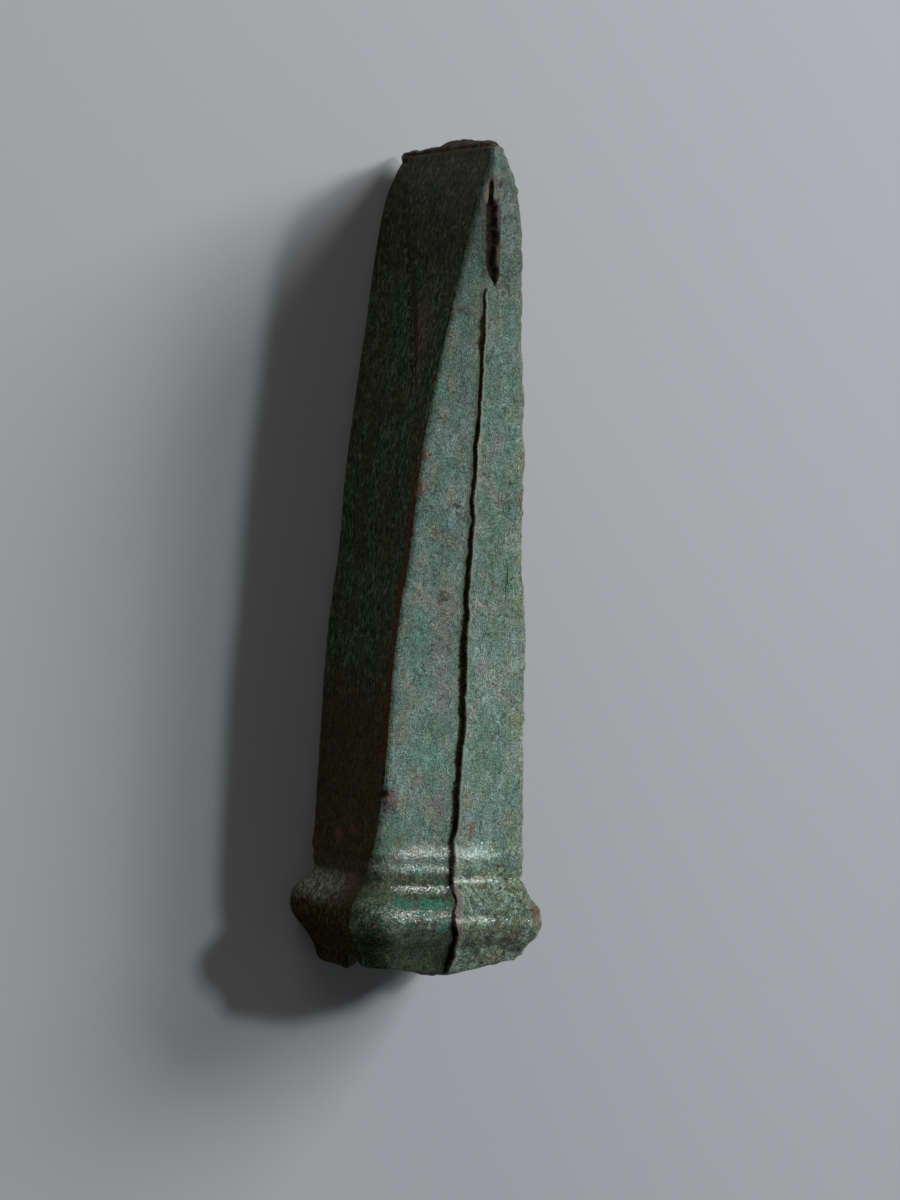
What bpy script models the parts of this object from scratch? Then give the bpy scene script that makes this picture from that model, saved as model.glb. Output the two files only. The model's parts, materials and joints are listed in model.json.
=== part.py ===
"""Socketed bronze axe head: one hollow casting, lying on one of its narrow sides.

The casting is shaped along its own axis. Height 0 is the socket's mouth, and the
cutting edge is at LENGTH. Breadth runs along the casting's X, thickness along its
Y. The last step lays it down: the side with the open seam faces up, the mouth
points to -X, and the collar and one corner of the blade touch the ground.
"""
import math

import bmesh
import bpy
from mathutils import Matrix, Vector, noise

MM = 0.001

# Driving dimensions. Each station is height, breadth, thickness and corner radius.
LENGTH = 125.0 * MM
STATIONS_MM = (
    (0.0, 23.4, 23.2, 2.0),      # socket mouth
    (3.6, 25.2, 25.6, 2.2),
    (8.8, 30.1, 30.6, 2.2),      # crest of the collar
    (10.4, 30.1, 30.4, 2.2),
    (13.4, 25.8, 26.5, 1.9),
    (14.8, 24.4, 25.0, 1.6),     # groove under the lower neck band
    (16.3, 24.9, 25.3, 1.5),     # lower neck band
    (17.2, 24.6, 24.9, 1.4),
    (18.3, 24.9, 25.2, 1.3),     # upper neck band
    (20.0, 25.0, 24.8, 1.2),
    (30.0, 26.9, 23.3, 1.1),
    (46.0, 27.1, 22.1, 1.1),
    (56.0, 27.6, 20.5, 1.0),     # the wide faces step in here
    (64.0, 28.2, 18.7, 1.0),
    (74.0, 28.9, 17.8, 1.0),
    (84.0, 29.7, 16.1, 1.0),
    (98.0, 32.0, 12.4, 0.9),
    (112.0, 34.8, 8.8, 0.9),
    (118.0, 35.4, 6.4, 0.8),     # broadest part of the blade
    (122.0, 34.2, 3.6, 0.6),
    (124.0, 31.6, 2.1, 0.35),
    (125.0, 29.2, 1.6, 0.3),     # blunt cutting edge
)
CORNER_SOFTNESS = (1.4, 1.6, 2.0, 0.9)      # one factor for each long edge
NEAR_CORNER_MM = (                          # the -Y edge of the seam side is rounder on the collar
    (0.0, 1.5), (8.8, 3.0), (13.0, 2.0), (17.0, 1.0), (22.0, 0.0),
)
BOW = 0.55 * MM                             # the casting bends towards -Y at mid-length
BOW_SPAN = (12.0 * MM, 112.0 * MM)

# Socket: a four-sided wedge that follows the walls, with the same columns as STATIONS_MM.
SOCKET_STATIONS_MM = (
    (0.0, 19.4, 19.2, 2.0),
    (46.0, 20.0, 15.8, 1.8),
    (90.0, 19.0, 8.4, 1.4),      # flat floor
)

# Seams, where the two halves of the mould met.
SEAM_LINE_MM = (                            # height, and the seam's sideways place
    (0.0, 0.0), (3.3, 0.5), (5.2, 0.6), (6.6, 0.35), (8.2, -0.6), (10.0, -0.55), (12.0, 0.4), (18.0, 0.25),
    (30.0, 0.2), (37.0, 0.55), (44.0, 0.15), (55.0, 0.1), (61.0, -0.3), (74.0, -0.15), (83.0, -0.45),
    (90.0, -0.2), (98.0, -0.7), (102.5, -0.9), (106.0, -0.5), (111.0, -0.95), (115.5, -1.3), (119.0, -1.5),
    (122.0, -1.0), (125.0, 0.0),
)
SEAM_FOOT = 0.55 * MM                       # half width of the fin's foot
BODY_FIN = 0.4 * MM
COLLAR_FIN = 0.8 * MM
COLLAR_FIN_SPAN = (1.0 * MM, 19.0 * MM)
BACK_FIN = 0.18 * MM
BACK_FIN_SPAN = (24.0 * MM, 98.0 * MM)
HALF_SHIFT = 0.18 * MM                      # each half slipped this far sideways
HALF_SHIFT_END = 100.0 * MM
CREST_MISMATCH = 1.6 * MM                   # the +Y half's collar crest sits lower
CREST_MISMATCH_END = 17.0 * MM

# Long recess in the seam, close to the blade.
RECESS_SPAN = (103.5 * MM, 120.0 * MM)
RECESS_HALF_WIDTH = 0.9 * MM
RECESS_DEPTH = 1.3 * MM

# Shallow hollow on the -Y wide face. It starts at a point and opens towards the blade.
HOLLOW_TIP = (10.1 * MM, 82.5 * MM)
HOLLOW_TOP = (-2.6 * MM, 106.0 * MM)
HOLLOW_END = 114.0 * MM
HOLLOW_SIDE = 9.3 * MM                      # its straight side, along the blade
HOLLOW_DEPTH = 0.6 * MM
HOLLOW_STEP = 0.35 * MM                     # half width of its steep side

# Broken lip of the mouth, and the worn cutting edge.
LIP_REACH = 9.0 * MM                        # height below which a chip moves the surface
CORNER_CHIP = 3.4 * MM
SEAM_SIDE_CHIP = 2.2 * MM
FACE_CHIP = 2.4 * MM
FACE_CHIP_SPAN = (1.5 * MM, 3.0 * MM)
NEAR_CHIP = 0.9 * MM
EDGE_RIDGE = 0.35 * MM
EDGE_PEAK = 0.9 * MM
EDGE_PEAK_PLACE = 2.5 * MM
EDGE_PEAK_WIDTH = 5.0 * MM
WART_PLACE = (-11.0 * MM, 27.2 * MM)        # across the seam side, and height
WART_RADIUS = 1.9 * MM
WART_HEIGHT = 0.5 * MM

# Mesh density.
SEAM_SIDE_STEPS = (4, 1, 1, 4)
HOLLOW_SIDE_STEPS = (5, 1, 3, 2)
PLAIN_SIDE_STEPS = 11
CORNER_STEPS = 3
COLLAR_RING_GAP = 0.9 * MM
BODY_RING_GAP = 3.0 * MM
BLADE_RING_GAP = 1.3 * MM
COLLAR_END = 20.0 * MM
BLADE_START = 102.0 * MM

SEAM_SIDE, PLUS_Y_SIDE, BACK_SIDE, MINUS_Y_SIDE = range(4)
STATIONS = [[value * MM for value in row] for row in STATIONS_MM]
SOCKET_STATIONS = [[value * MM for value in row] for row in SOCKET_STATIONS_MM]


def smooth(value):
    """Ease from 0 to 1 as value goes from 0 to 1."""
    value = min(1.0, max(0.0, value))
    return value * value * (3.0 - 2.0 * value)


def rise(height, span):
    """Ease from 0 at the span's start to 1 at its end."""
    return smooth((height - span[0]) / (span[1] - span[0]))


def window(height, span, fade):
    """1 inside the span and 0 outside it, eased over the fade at both ends."""
    start = smooth((height - span[0]) / fade)
    end = smooth((span[1] - height) / fade)
    return start * end


def station_slopes(column):
    """Slope at each station, limited so that the profile never overshoots."""
    slopes = []
    steps = [(b[column] - a[column]) / (b[0] - a[0]) for a, b in zip(STATIONS, STATIONS[1:])]
    for before, after in zip([steps[0]] + steps, steps + [steps[-1]]):
        if before * after <= 0.0:
            slopes.append(0.0)
        else:
            slopes.append(2.0 * before * after / (before + after))
    return slopes


SLOPES = {column: station_slopes(column) for column in (1, 2, 3)}


def profile(height, column):
    """Breadth (1), thickness (2) or corner radius (3) at a height."""
    height = min(LENGTH, max(0.0, height))
    index = 0
    while index < len(STATIONS) - 2 and height > STATIONS[index + 1][0]:
        index += 1
    low, high = STATIONS[index], STATIONS[index + 1]
    gap = high[0] - low[0]
    t = (height - low[0]) / gap
    bend = t * t * (3.0 - 2.0 * t)
    start_slope = SLOPES[column][index] * gap * t * (1.0 - t) ** 2
    end_slope = SLOPES[column][index + 1] * gap * t * t * (1.0 - t)
    return low[column] * (1.0 - bend) + high[column] * bend + start_slope - end_slope


def along_table(table, height):
    """Value at a height, on straight lines between a table's rows of height and value in millimetres."""
    height = min(table[-1][0], max(table[0][0], height / MM))
    for low, high in zip(table, table[1:]):
        if height <= high[0]:
            break
    return (low[1] + (high[1] - low[1]) * (height - low[0]) / (high[0] - low[0])) * MM


def section_centre(height):
    """Sideways place of the section's centre, from the casting's slight bow."""
    t = (height - BOW_SPAN[0]) / (BOW_SPAN[1] - BOW_SPAN[0])
    return -BOW * math.sin(math.pi * min(1.0, max(0.0, t)))


def seam_place(height):
    """Where the seam runs across a narrow side, from the section's centre."""
    return along_table(SEAM_LINE_MM, height) - section_centre(height)


def side_direction(side):
    """Outward and along directions of a side, in the section's plane."""
    angle = side * math.pi / 2.0
    outward = Vector((math.cos(angle), math.sin(angle), 0.0))
    along = Vector((-math.sin(angle), math.cos(angle), 0.0))
    return outward, along


def corner_radius(side, height):
    """Radius of the long edge at the end of a side."""
    limit = 0.42 * min(profile(height, 1), profile(height, 2))
    added = along_table(NEAR_CORNER_MM, height) if side % 4 == MINUS_Y_SIDE else 0.0
    return min(limit, profile(height, 3) * CORNER_SOFTNESS[side % 4] + added)


def side_ends(side, height):
    """The two ends of a side's flat part, from the section's centre."""
    half = profile(height, 2 if side % 2 == 0 else 1) / 2.0
    return corner_radius(side - 1, height) - half, half - corner_radius(side, height)


def spread(stops, steps):
    """Places along a side: each stretch between stops is cut into equal steps."""
    places = [stops[0]]
    for start, end, count in zip(stops, stops[1:], steps):
        places += [start + (end - start) * (k + 1) / count for k in range(count)]
    return places


def hollow_stops(height, ends):
    """Places of the hollow's steep side and of its straight side at a height."""
    t = (height - HOLLOW_TIP[1]) / (HOLLOW_TOP[1] - HOLLOW_TIP[1])
    t = min(1.25, max(0.0, t))
    steep = HOLLOW_TIP[0] + (HOLLOW_TOP[0] - HOLLOW_TIP[0]) * t
    straight = max(HOLLOW_SIDE, steep + 2.0 * HOLLOW_STEP)
    limit = ends[1] - HOLLOW_STEP
    straight = min(limit, straight)
    steep = min(steep, straight - 2.0 * HOLLOW_STEP)
    return steep - HOLLOW_STEP, steep + HOLLOW_STEP, straight


def side_places(side, height):
    """The column places along one side at a height."""
    ends = side_ends(side, height)
    if side in (SEAM_SIDE, BACK_SIDE):
        facing = 1.0 if side == SEAM_SIDE else -1.0
        seam = facing * seam_place(height)
        foot = min(SEAM_FOOT, 0.3 * ends[1])
        seam = min(ends[1] - 1.6 * foot, max(ends[0] + 1.6 * foot, seam))
        return spread((ends[0], seam - foot, seam, seam + foot, ends[1]), SEAM_SIDE_STEPS)
    if side == MINUS_Y_SIDE:
        return spread((ends[0],) + hollow_stops(height, ends) + (ends[1],), HOLLOW_SIDE_STEPS)
    return spread(ends, (PLAIN_SIDE_STEPS,))


def seam_relief(side, place, height):
    """How far the fin stands out, or the recess lies in, on a narrow side."""
    facing = 1.0 if side == SEAM_SIDE else -1.0
    distance = abs(place - facing * seam_place(height))
    ridge = max(0.0, 1.0 - distance / SEAM_FOOT)
    if side == BACK_SIDE:
        return BACK_FIN * ridge * window(height, BACK_FIN_SPAN, 8.0 * MM)
    fin = BODY_FIN + (COLLAR_FIN - BODY_FIN) * window(height, COLLAR_FIN_SPAN, 4.0 * MM)
    fin *= smooth(height / (2.0 * MM)) * (1.0 - rise(height, (98.0 * MM, 103.0 * MM)))
    recess = window(height, RECESS_SPAN, 3.0 * MM)
    inside = smooth(2.0 * (1.0 - distance / RECESS_HALF_WIDTH))
    return fin * ridge - RECESS_DEPTH * recess * inside


def hollow_relief(place, height):
    """Depth of the shallow hollow: steep on one side, rising gently to the other."""
    if not HOLLOW_TIP[1] < height < HOLLOW_END:
        return 0.0
    start, bottom, straight = hollow_stops(height, side_ends(MINUS_Y_SIDE, height))
    length = window(height, (HOLLOW_TIP[1], HOLLOW_END), 10.0 * MM)
    if place <= bottom:
        across = smooth((place - start) / (bottom - start))
    else:
        across = min(1.0, max(0.0, (straight - place) / (straight - bottom)))
    return -HOLLOW_DEPTH * length * across


def wart_relief(side, place, height):
    """A small casting wart beside the -Y long edge of the seam side."""
    if side != SEAM_SIDE:
        return 0.0
    distance = math.hypot(place - WART_PLACE[0], height - WART_PLACE[1])
    return WART_HEIGHT * smooth(1.0 - distance / WART_RADIUS)


def relief(side, place, height):
    """All the small forms on one side, as a distance outward."""
    if side == MINUS_Y_SIDE:
        return hollow_relief(place, height)
    if side == PLUS_Y_SIDE:
        return 0.0
    return seam_relief(side, place, height) + wart_relief(side, place, height)


def plus_y_half(side, place, height):
    """1 on the mould half towards +Y, 0 on the other one."""
    if side == PLUS_Y_SIDE:
        return 1.0
    if side == MINUS_Y_SIDE:
        return 0.0
    facing = 1.0 if side == SEAM_SIDE else -1.0
    distance = facing * place - seam_place(height)
    return smooth(0.5 + distance / (2.0 * SEAM_FOOT))


def lip_chip(side, share):
    """How much of the lip is missing, with share from 0 to 1 along a side."""
    if side == SEAM_SIDE:
        rising = SEAM_SIDE_CHIP * max(0.0, 2.0 * share - 1.0)
        return rising + NEAR_CHIP * (1.0 - smooth(share / 0.45))
    if side == PLUS_Y_SIDE:
        return CORNER_CHIP * (1.0 - smooth(share / 0.6))
    if side == MINUS_Y_SIDE:
        place = (share - 0.5) * STATIONS[0][1]
        opening = rise(place, FACE_CHIP_SPAN)
        closing = smooth((share - 0.85) / 0.15)
        return FACE_CHIP * opening + (NEAR_CHIP - FACE_CHIP) * closing
    return 0.0


def lifted(height, missing):
    """Height of a ring point once the missing part of the lip is cut away."""
    keep = max(0.0, 1.0 - height / LIP_REACH)
    return height + missing * keep * keep


def surface_height(height, half):
    """Height at which to read the profile, lower on the slipped mould half."""
    return height + CREST_MISMATCH * half * (1.0 - smooth(height / CREST_MISMATCH_END))


def half_offset(half, height):
    """Sideways slip between the two mould halves."""
    keep = 1.0 - rise(height, (0.5 * HALF_SHIFT_END, HALF_SHIFT_END))
    return Vector(((2.0 * half - 1.0) * HALF_SHIFT * keep, 0.0, 0.0))


def mouth_share(side, index):
    """How far along a side a column starts at the mouth, from 0 to 1."""
    places = side_places(side, 0.0)
    return (places[index] - places[0]) / (places[-1] - places[0])


def side_point(side, index, ring_height):
    """A point on the flat part of a side."""
    share = mouth_share(side, index)
    height = lifted(ring_height, lip_chip(side, share))
    outward, along = side_direction(side)
    place = side_places(side, height)[index]
    half = plus_y_half(side, place, height)
    depth = profile(surface_height(height, half), 1 if side % 2 == 0 else 2) / 2.0
    flat = along * place + outward * (depth + relief(side, place, height))
    centre = Vector((0.0, section_centre(height), height))
    return flat + centre + half_offset(half, height)


def corner_point(side, step, ring_height):
    """A point on the rounded long edge between a side and the next one."""
    turn = step / CORNER_STEPS
    missing = lip_chip(side, 1.0) * (1.0 - turn) + lip_chip((side + 1) % 4, 0.0) * turn
    height = lifted(ring_height, missing)
    half = 1.0 if side in (0, 1) else 0.0
    read_height = surface_height(height, half)
    radius = corner_radius(side, read_height)
    outward, along = side_direction(side)
    depth = profile(read_height, 1 if side % 2 == 0 else 2) / 2.0 - radius
    reach = profile(read_height, 2 if side % 2 == 0 else 1) / 2.0 - radius
    angle = turn * math.pi / 2.0
    corner = outward * (depth + radius * math.cos(angle)) + along * (reach + radius * math.sin(angle))
    centre = Vector((0.0, section_centre(height), height))
    return corner + centre + half_offset(half, height)


def ring(height):
    """One closed ring of the outside, counter-clockwise seen from the blade."""
    points = []
    for side in range(4):
        count = len(side_places(side, height))
        points += [side_point(side, index, height) for index in range(count)]
        points += [corner_point(side, step, height) for step in range(1, CORNER_STEPS)]
    return points


def ring_heights():
    """Heights of the rings, closest at the collar and at the blade."""
    heights = [0.0]
    while heights[-1] < LENGTH - 0.2 * BLADE_RING_GAP:
        last = heights[-1]
        if last < COLLAR_END:
            gap = COLLAR_RING_GAP
        elif last < BLADE_START:
            gap = BODY_RING_GAP
        else:
            gap = BLADE_RING_GAP
        heights.append(min(LENGTH, last + gap))
    return heights


def socket_ring(station, mouth_points=None):
    """One ring of the socket, with a point for each point of the outside ring."""
    height, breadth, thickness, radius = station
    points = []
    for side in range(4):
        outward, along = side_direction(side)
        depth, reach = (breadth, thickness) if side % 2 == 0 else (thickness, breadth)
        end = reach / 2.0 - radius
        count = len(side_places(side, 0.0))
        for index in range(count):
            place = end * (2.0 * mouth_share(side, index) - 1.0)
            points.append(outward * depth / 2.0 + along * place)
        for step in range(1, CORNER_STEPS):
            angle = step / CORNER_STEPS * math.pi / 2.0
            across = depth / 2.0 - radius + radius * math.cos(angle)
            points.append(outward * across + along * (end + radius * math.sin(angle)))
    for index, point in enumerate(points):
        point.z = mouth_points[index].z if mouth_points else height
    return points


def bridge(mesh, lower, upper):
    """Join two rings of equal length with quads that face away from the axis."""
    for index in range(len(lower)):
        after = (index + 1) % len(lower)
        mesh.faces.new((lower[index], lower[after], upper[after], upper[index]))


def edge_line(ring_points):
    """The rough crest of the cutting edge, one point for each pair of face columns."""
    plus_start = len(side_places(SEAM_SIDE, LENGTH)) + CORNER_STEPS - 1
    count = PLAIN_SIDE_STEPS + 1
    minus_start = len(ring_points) - (CORNER_STEPS - 1) - count
    crest = []
    for index in range(count):
        plus_point = ring_points[plus_start + index]
        minus_point = ring_points[minus_start + count - 1 - index]
        middle = (plus_point + minus_point) / 2.0
        peak = EDGE_PEAK * math.exp(-((middle.x - EDGE_PEAK_PLACE) / EDGE_PEAK_WIDTH) ** 2)
        rough = 0.4 * EDGE_RIDGE * noise.noise(Vector((middle.x / (2.5 * MM), 0.0, 0.0)))
        crest.append(middle + Vector((0.0, 0.0, EDGE_RIDGE + peak + rough)))
    return crest, plus_start, minus_start


def close_edge(mesh, verts, points):
    """Close the blade along its crest."""
    crest_points, plus_start, minus_start = edge_line(points)
    crest = [mesh.verts.new(point) for point in crest_points]
    count = len(crest)
    plus = verts[plus_start:plus_start + count]
    minus = verts[minus_start:minus_start + count][::-1]
    for index in range(count - 1):
        mesh.faces.new((plus[index], plus[index + 1], crest[index + 1], crest[index]))
        mesh.faces.new((crest[index], crest[index + 1], minus[index + 1], minus[index]))
    seam_end = verts[minus_start + count - 1:] + verts[:plus_start + 1]
    back_end = verts[plus_start + count - 1:minus_start + 1]
    for fan, tip in ((seam_end, crest[0]), (back_end, crest[-1])):
        for a, b in zip(fan, fan[1:]):
            mesh.faces.new((a, b, tip))


def casting_mesh():
    """The whole casting, as one closed mesh along its own axis."""
    mesh = bmesh.new()
    rings = [ring(height) for height in ring_heights()]
    verts = [[mesh.verts.new(point) for point in points] for points in rings]
    for lower, upper in zip(verts, verts[1:]):
        bridge(mesh, lower, upper)
    close_edge(mesh, verts[-1], rings[-1])
    inner = [mesh.verts.new(point) for point in socket_ring(SOCKET_STATIONS[0], rings[0])]
    bridge(mesh, inner, verts[0])
    for station in SOCKET_STATIONS[1:]:
        deeper = [mesh.verts.new(point) for point in socket_ring(station)]
        bridge(mesh, deeper, inner)
        inner = deeper
    mesh.faces.new(inner)
    bmesh.ops.recalc_face_normals(mesh, faces=mesh.faces)
    return mesh


def laid_down(tilt):
    """Rotation that lays the casting down, with the blade end raised by the tilt."""
    up = Vector((-math.sin(tilt), 0.0, math.cos(tilt)))
    axis = Vector((math.cos(tilt), 0.0, math.sin(tilt)))
    return Matrix((up, (0.0, -1.0, 0.0), axis)).transposed()


def resting_tilt(points):
    """Tilt at which the collar and the blade's corner touch the ground together."""
    collar = [point for point in points if point.z < COLLAR_END]
    blade = [point for point in points if point.z > BLADE_START]
    tilt = 0.0
    for _ in range(4):
        turn = laid_down(tilt)
        low_collar = min(collar, key=lambda point: (turn @ point).z)
        low_blade = min(blade, key=lambda point: (turn @ point).z)
        tilt = math.atan2(low_collar.x - low_blade.x, low_blade.z - low_collar.z)
    return tilt


def bronze_material():
    """Green and brown patina over bronze."""
    material = bpy.data.materials.new("patinated_bronze")
    material.use_nodes = True
    shader = material.node_tree.nodes["Principled BSDF"]
    shader.inputs["Base Color"].default_value = (0.115, 0.185, 0.150, 1.0)
    shader.inputs["Roughness"].default_value = 0.55
    shader.inputs["Metallic"].default_value = 0.2
    return material


def place_on_ground(part):
    """Lay the part down with its box centred over the origin."""
    points = [vertex.co.copy() for vertex in part.data.vertices]
    turn = laid_down(resting_tilt(points))
    turned = [turn @ point for point in points]
    middle = [(min(p[k] for p in turned) + max(p[k] for p in turned)) / 2.0 for k in (0, 1)]
    part.location = (-middle[0], -middle[1], -min(point.z for point in turned))
    part.rotation_euler = turn.to_euler()


def build():
    """Clear the scene and make the axe head."""
    for old in list(bpy.data.objects):
        bpy.data.objects.remove(old, do_unlink=True)
    mesh = casting_mesh()
    data = bpy.data.meshes.new("axe_head")
    mesh.to_mesh(data)
    mesh.free()
    data.shade_smooth()
    data.set_sharp_from_angle(angle=math.radians(30.0))
    data.materials.append(bronze_material())
    part = bpy.data.objects.new("axe_head", data)
    bpy.context.scene.collection.objects.link(part)
    place_on_ground(part)


build()
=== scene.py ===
"""Looks of the socketed bronze axe head.

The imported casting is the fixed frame. One piece, patinated_casting, stands for it: the same
form in a fine mesh, with its seams, crusts, chips and worn edges, under a patina material.
The shape functions work in millimetres in the casting's own frame: z is the height above the
socket's mouth, X runs along the breadth, Y along the thickness, and the seam side faces +X.
"""

import functools
import json
import math

import bmesh
import bpy
import numpy as np
from mathutils import Matrix, Vector


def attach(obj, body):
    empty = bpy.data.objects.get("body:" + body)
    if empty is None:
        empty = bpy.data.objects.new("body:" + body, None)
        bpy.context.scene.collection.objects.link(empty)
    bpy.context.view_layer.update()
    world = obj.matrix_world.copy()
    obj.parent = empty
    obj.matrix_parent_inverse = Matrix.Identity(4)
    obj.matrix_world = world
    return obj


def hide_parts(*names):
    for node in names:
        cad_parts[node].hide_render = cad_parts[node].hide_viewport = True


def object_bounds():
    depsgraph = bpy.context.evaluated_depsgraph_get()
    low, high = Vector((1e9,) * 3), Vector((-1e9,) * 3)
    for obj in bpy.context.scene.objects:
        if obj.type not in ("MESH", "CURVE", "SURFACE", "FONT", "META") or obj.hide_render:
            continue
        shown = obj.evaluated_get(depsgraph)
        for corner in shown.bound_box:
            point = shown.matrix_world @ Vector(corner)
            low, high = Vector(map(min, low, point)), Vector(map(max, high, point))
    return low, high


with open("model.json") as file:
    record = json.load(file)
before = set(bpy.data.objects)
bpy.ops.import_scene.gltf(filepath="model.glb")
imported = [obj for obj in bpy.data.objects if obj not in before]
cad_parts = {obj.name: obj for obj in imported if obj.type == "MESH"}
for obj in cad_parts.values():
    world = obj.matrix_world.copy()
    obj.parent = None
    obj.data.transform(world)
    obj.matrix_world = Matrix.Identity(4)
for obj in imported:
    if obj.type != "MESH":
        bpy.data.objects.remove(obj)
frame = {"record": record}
CAD_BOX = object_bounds()

MM = 0.001
CASTING_NODE = "axe_head"

# Driving dimensions, shared with the solid: height, breadth, thickness and corner radius.
LENGTH = 125
STATIONS = np.array((
    (0, 23.4, 23.2, 2),  # socket mouth
    (3.6, 25.2, 25.6, 2.2),
    (8.8, 30.1, 30.6, 2.2),  # crest of the collar
    (10.4, 30.1, 30.4, 2.2),
    (13.4, 25.8, 26.5, 1.9),
    (14.8, 24.4, 25, 1.6),  # groove under the lower neck band
    (16.3, 24.75, 25.2, 1.5),  # lower neck band
    (17.2, 24.65, 25, 1.4),
    (18.3, 24.8, 25.1, 1.3),  # upper neck band
    (20, 25, 24.8, 1.2),
    (30, 26.9, 23.3, 1.1),
    (46, 27.1, 22.1, 1.1),
    (56, 27.6, 20.5, 1),  # the wide faces step in here
    (64, 28.2, 18.7, 1),
    (74, 28.9, 17.8, 1),
    (84, 29.7, 16.1, 1),
    (98, 32, 12.4, 0.9),
    (112, 34.8, 8.8, 0.9),
    (118, 35.4, 6.4, 0.8),  # broadest part of the blade
    (122, 34.2, 3.6, 0.6),
    (124, 31.6, 2.1, 0.35),
    (125, 29.2, 1.6, 0.3),  # blunt cutting edge
))
BREADTH, THICKNESS, RADIUS = 1, 2, 3
CORNER_SOFTNESS = (1.4, 1.6, 2, 0.9)
NEAR_CORNER = np.array((  # the near long edge is rounder on the collar: height, added radius
    (0, 1.5), (8.8, 3), (13, 2), (17, 1), (22, 0),
))
BOW = 0.55  # the casting is bent sideways this much between two heights
BOW_SPAN = (12, 112)
SOCKET_STATIONS = np.array(((0, 19.4, 19.2, 2), (46, 20, 15.8, 1.8), (90, 19, 8.4, 1.4)))
SOCKET_DEPTH = SOCKET_STATIONS[-1, 0]

# Seams, where the two halves of the mould met. The seam's line is height and Y.
SEAM_LINE = np.array((
    (0, 0), (1.5, 0.15), (3.3, 0.5), (5.2, 0.6), (6.6, 0.35), (8.2, -0.6), (10, -0.55), (12, 0.4),
    (14, 0.4), (18, 0.25), (22, 0.2), (30, 0.2), (37, 0.55), (44, 0.15), (55, 0.1), (61, -0.3),
    (68, -0.1), (74, -0.15), (83, -0.45), (90, -0.2), (98, -0.7), (103, -1.15), (108, -1.1),
    (114, -1.4), (118, -1.55), (122, -1), (125, 0),
))
SEAM_END = 103.5  # the flash and its groove stop at the recess
SEAM_WANDER = 0.14
FIN_HEIGHT = np.array((
    (0, 0.15), (3, 0.45), (15, 0.5), (20, 0.24), (80, 0.24), (90, 0.16), (102, 0.14), (104, 0),
))
FIN_WIDTH = np.array((  # flat top of the flash
    (0, 0.3), (5, 0.5), (7, 0.8), (9.5, 1), (12.5, 0.8), (14.5, 0.35), (18, 0.15), (22, 0),
))
FIN_STEEP_FLANK = 0.3
FIN_GENTLE_FLANK = 0.7
CREVICE_DEPTH = 0.2
CREVICE_WIDTH = np.array((
    (0, 0.4), (3, 0.6), (6.5, 0.55), (8, 0.15), (14.5, 0.15), (18, 0.8), (30, 1), (40, 1.1),
    (48, 1.3), (53, 1), (58, 0.75), (64, 0.85), (70, 0.6), (80, 0.55), (85, 0.4), (89, 0.45),
    (94, 0.7), (95.2, 1.3), (98.2, 1.3), (99.6, 0.5), (103, 0.3),
))
BACK_FIN = (0.18, 0.6)  # low flash on the hidden side: height and flank
BACK_FIN_SPAN = (24, 98, 8)
SEAM_COLUMNS = (-1.7, -1, -0.45, 0.05, 0.35, 0.75, 1.5)  # columns crowd round the seam
ROOF_HEIGHT = 0.25  # the seam side rises this much from its long edges to the seam
HALF_SHIFT = 0.18  # slip between the two mould halves, fading out up to HALF_SHIFT_END
HALF_SHIFT_END = 100
CREST_MISMATCH = 1.6
CREST_MISMATCH_END = 17

# Long ragged recess in the seam near the blade: height, Y of its middle, and half width.
RECESS_LINE = np.array((
    (103.4, 0.5, 0.15), (104.6, 0.1, 0.5), (106, -0.45, 0.85), (108, -0.7, 0.95), (111, -0.95, 0.95),
    (114.4, -1.15, 0.95), (115.3, -1.3, 0.9), (116.2, -1.45, 0.45), (117.6, -1.5, 0.36), (119.3, -1.5, 0.2),
))
RECESS_START, RECESS_END = RECESS_LINE[0, 0], RECESS_LINE[-1, 0]
RECESS_DEPTH = 1
RIM_SWELL = 0.16  # crusty lips of the recess

# Shallow hollow on the -Y wide face.
HOLLOW_TIP = (10.1, 82.5)
HOLLOW_TOP = (-2.6, 106)
HOLLOW_END = 114
HOLLOW_SIDE = 9.3
HOLLOW_DEPTH = 0.6
HOLLOW_STEP = 0.3
STRIA_GAP = 0.62
STRIA_DEPTH = 0.035

# Ridges round the neck, and the collar's fuller and leaner parts, on the -Y and the +Y half of the
# mould: height, how far each stands out, and width.
BANDS = (
    (
        (12.6, 0.16, 0.6), (15.7, 0.14, 0.6), (18, 0.22, 0.8), (9.8, 0.12, 0.8),
        (6.3, 0.42, 2.4), (13, -0.3, 1.2),
    ),
    ((14, 0.22, 0.45), (17.8, 0.3, 1), (8.1, 0.24, 0.5), (4.6, -0.45, 1.5), (11.6, -0.3, 1)),
)
GLOSS_BANDS = (  # polished crests on the two halves: height, strength and width
    ((18.4, 1, 1.7), (16.1, 1, 0.5), (13.2, 1, 0.6), (9.4, 1, 1)),
    ((18.6, 1, 1.9), (14.7, 1, 0.7), (9.1, 1, 0.7)),
)

# Fine crack by the far long edge: Y, its two heights and half width.
CRACK = (5.9, 55.5, 62, 0.14)

# Broken lip of the mouth, and the worn cutting edge.
LIP_REACH = 9
CORNER_CHIP = 3.4
SEAM_SIDE_CHIP = 2.2
FACE_CHIP = 2.4
FACE_CHIP_SPAN = (1.5, 3)
NEAR_CHIP = 0.9
LIP_RAGGEDNESS = 0.4
LIP_ROUNDING = 0.7
EDGE_LINE = (124.2, 0.16, 0.22)  # fine ridge under the crest of the cutting edge: height, out, width
EDGE_RIDGE = 0.4
EDGE_PEAK = (2.5, 0.9, 5)  # fuller part of the crest: X, height, width
EDGE_RAGGEDNESS = 0.3

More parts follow.
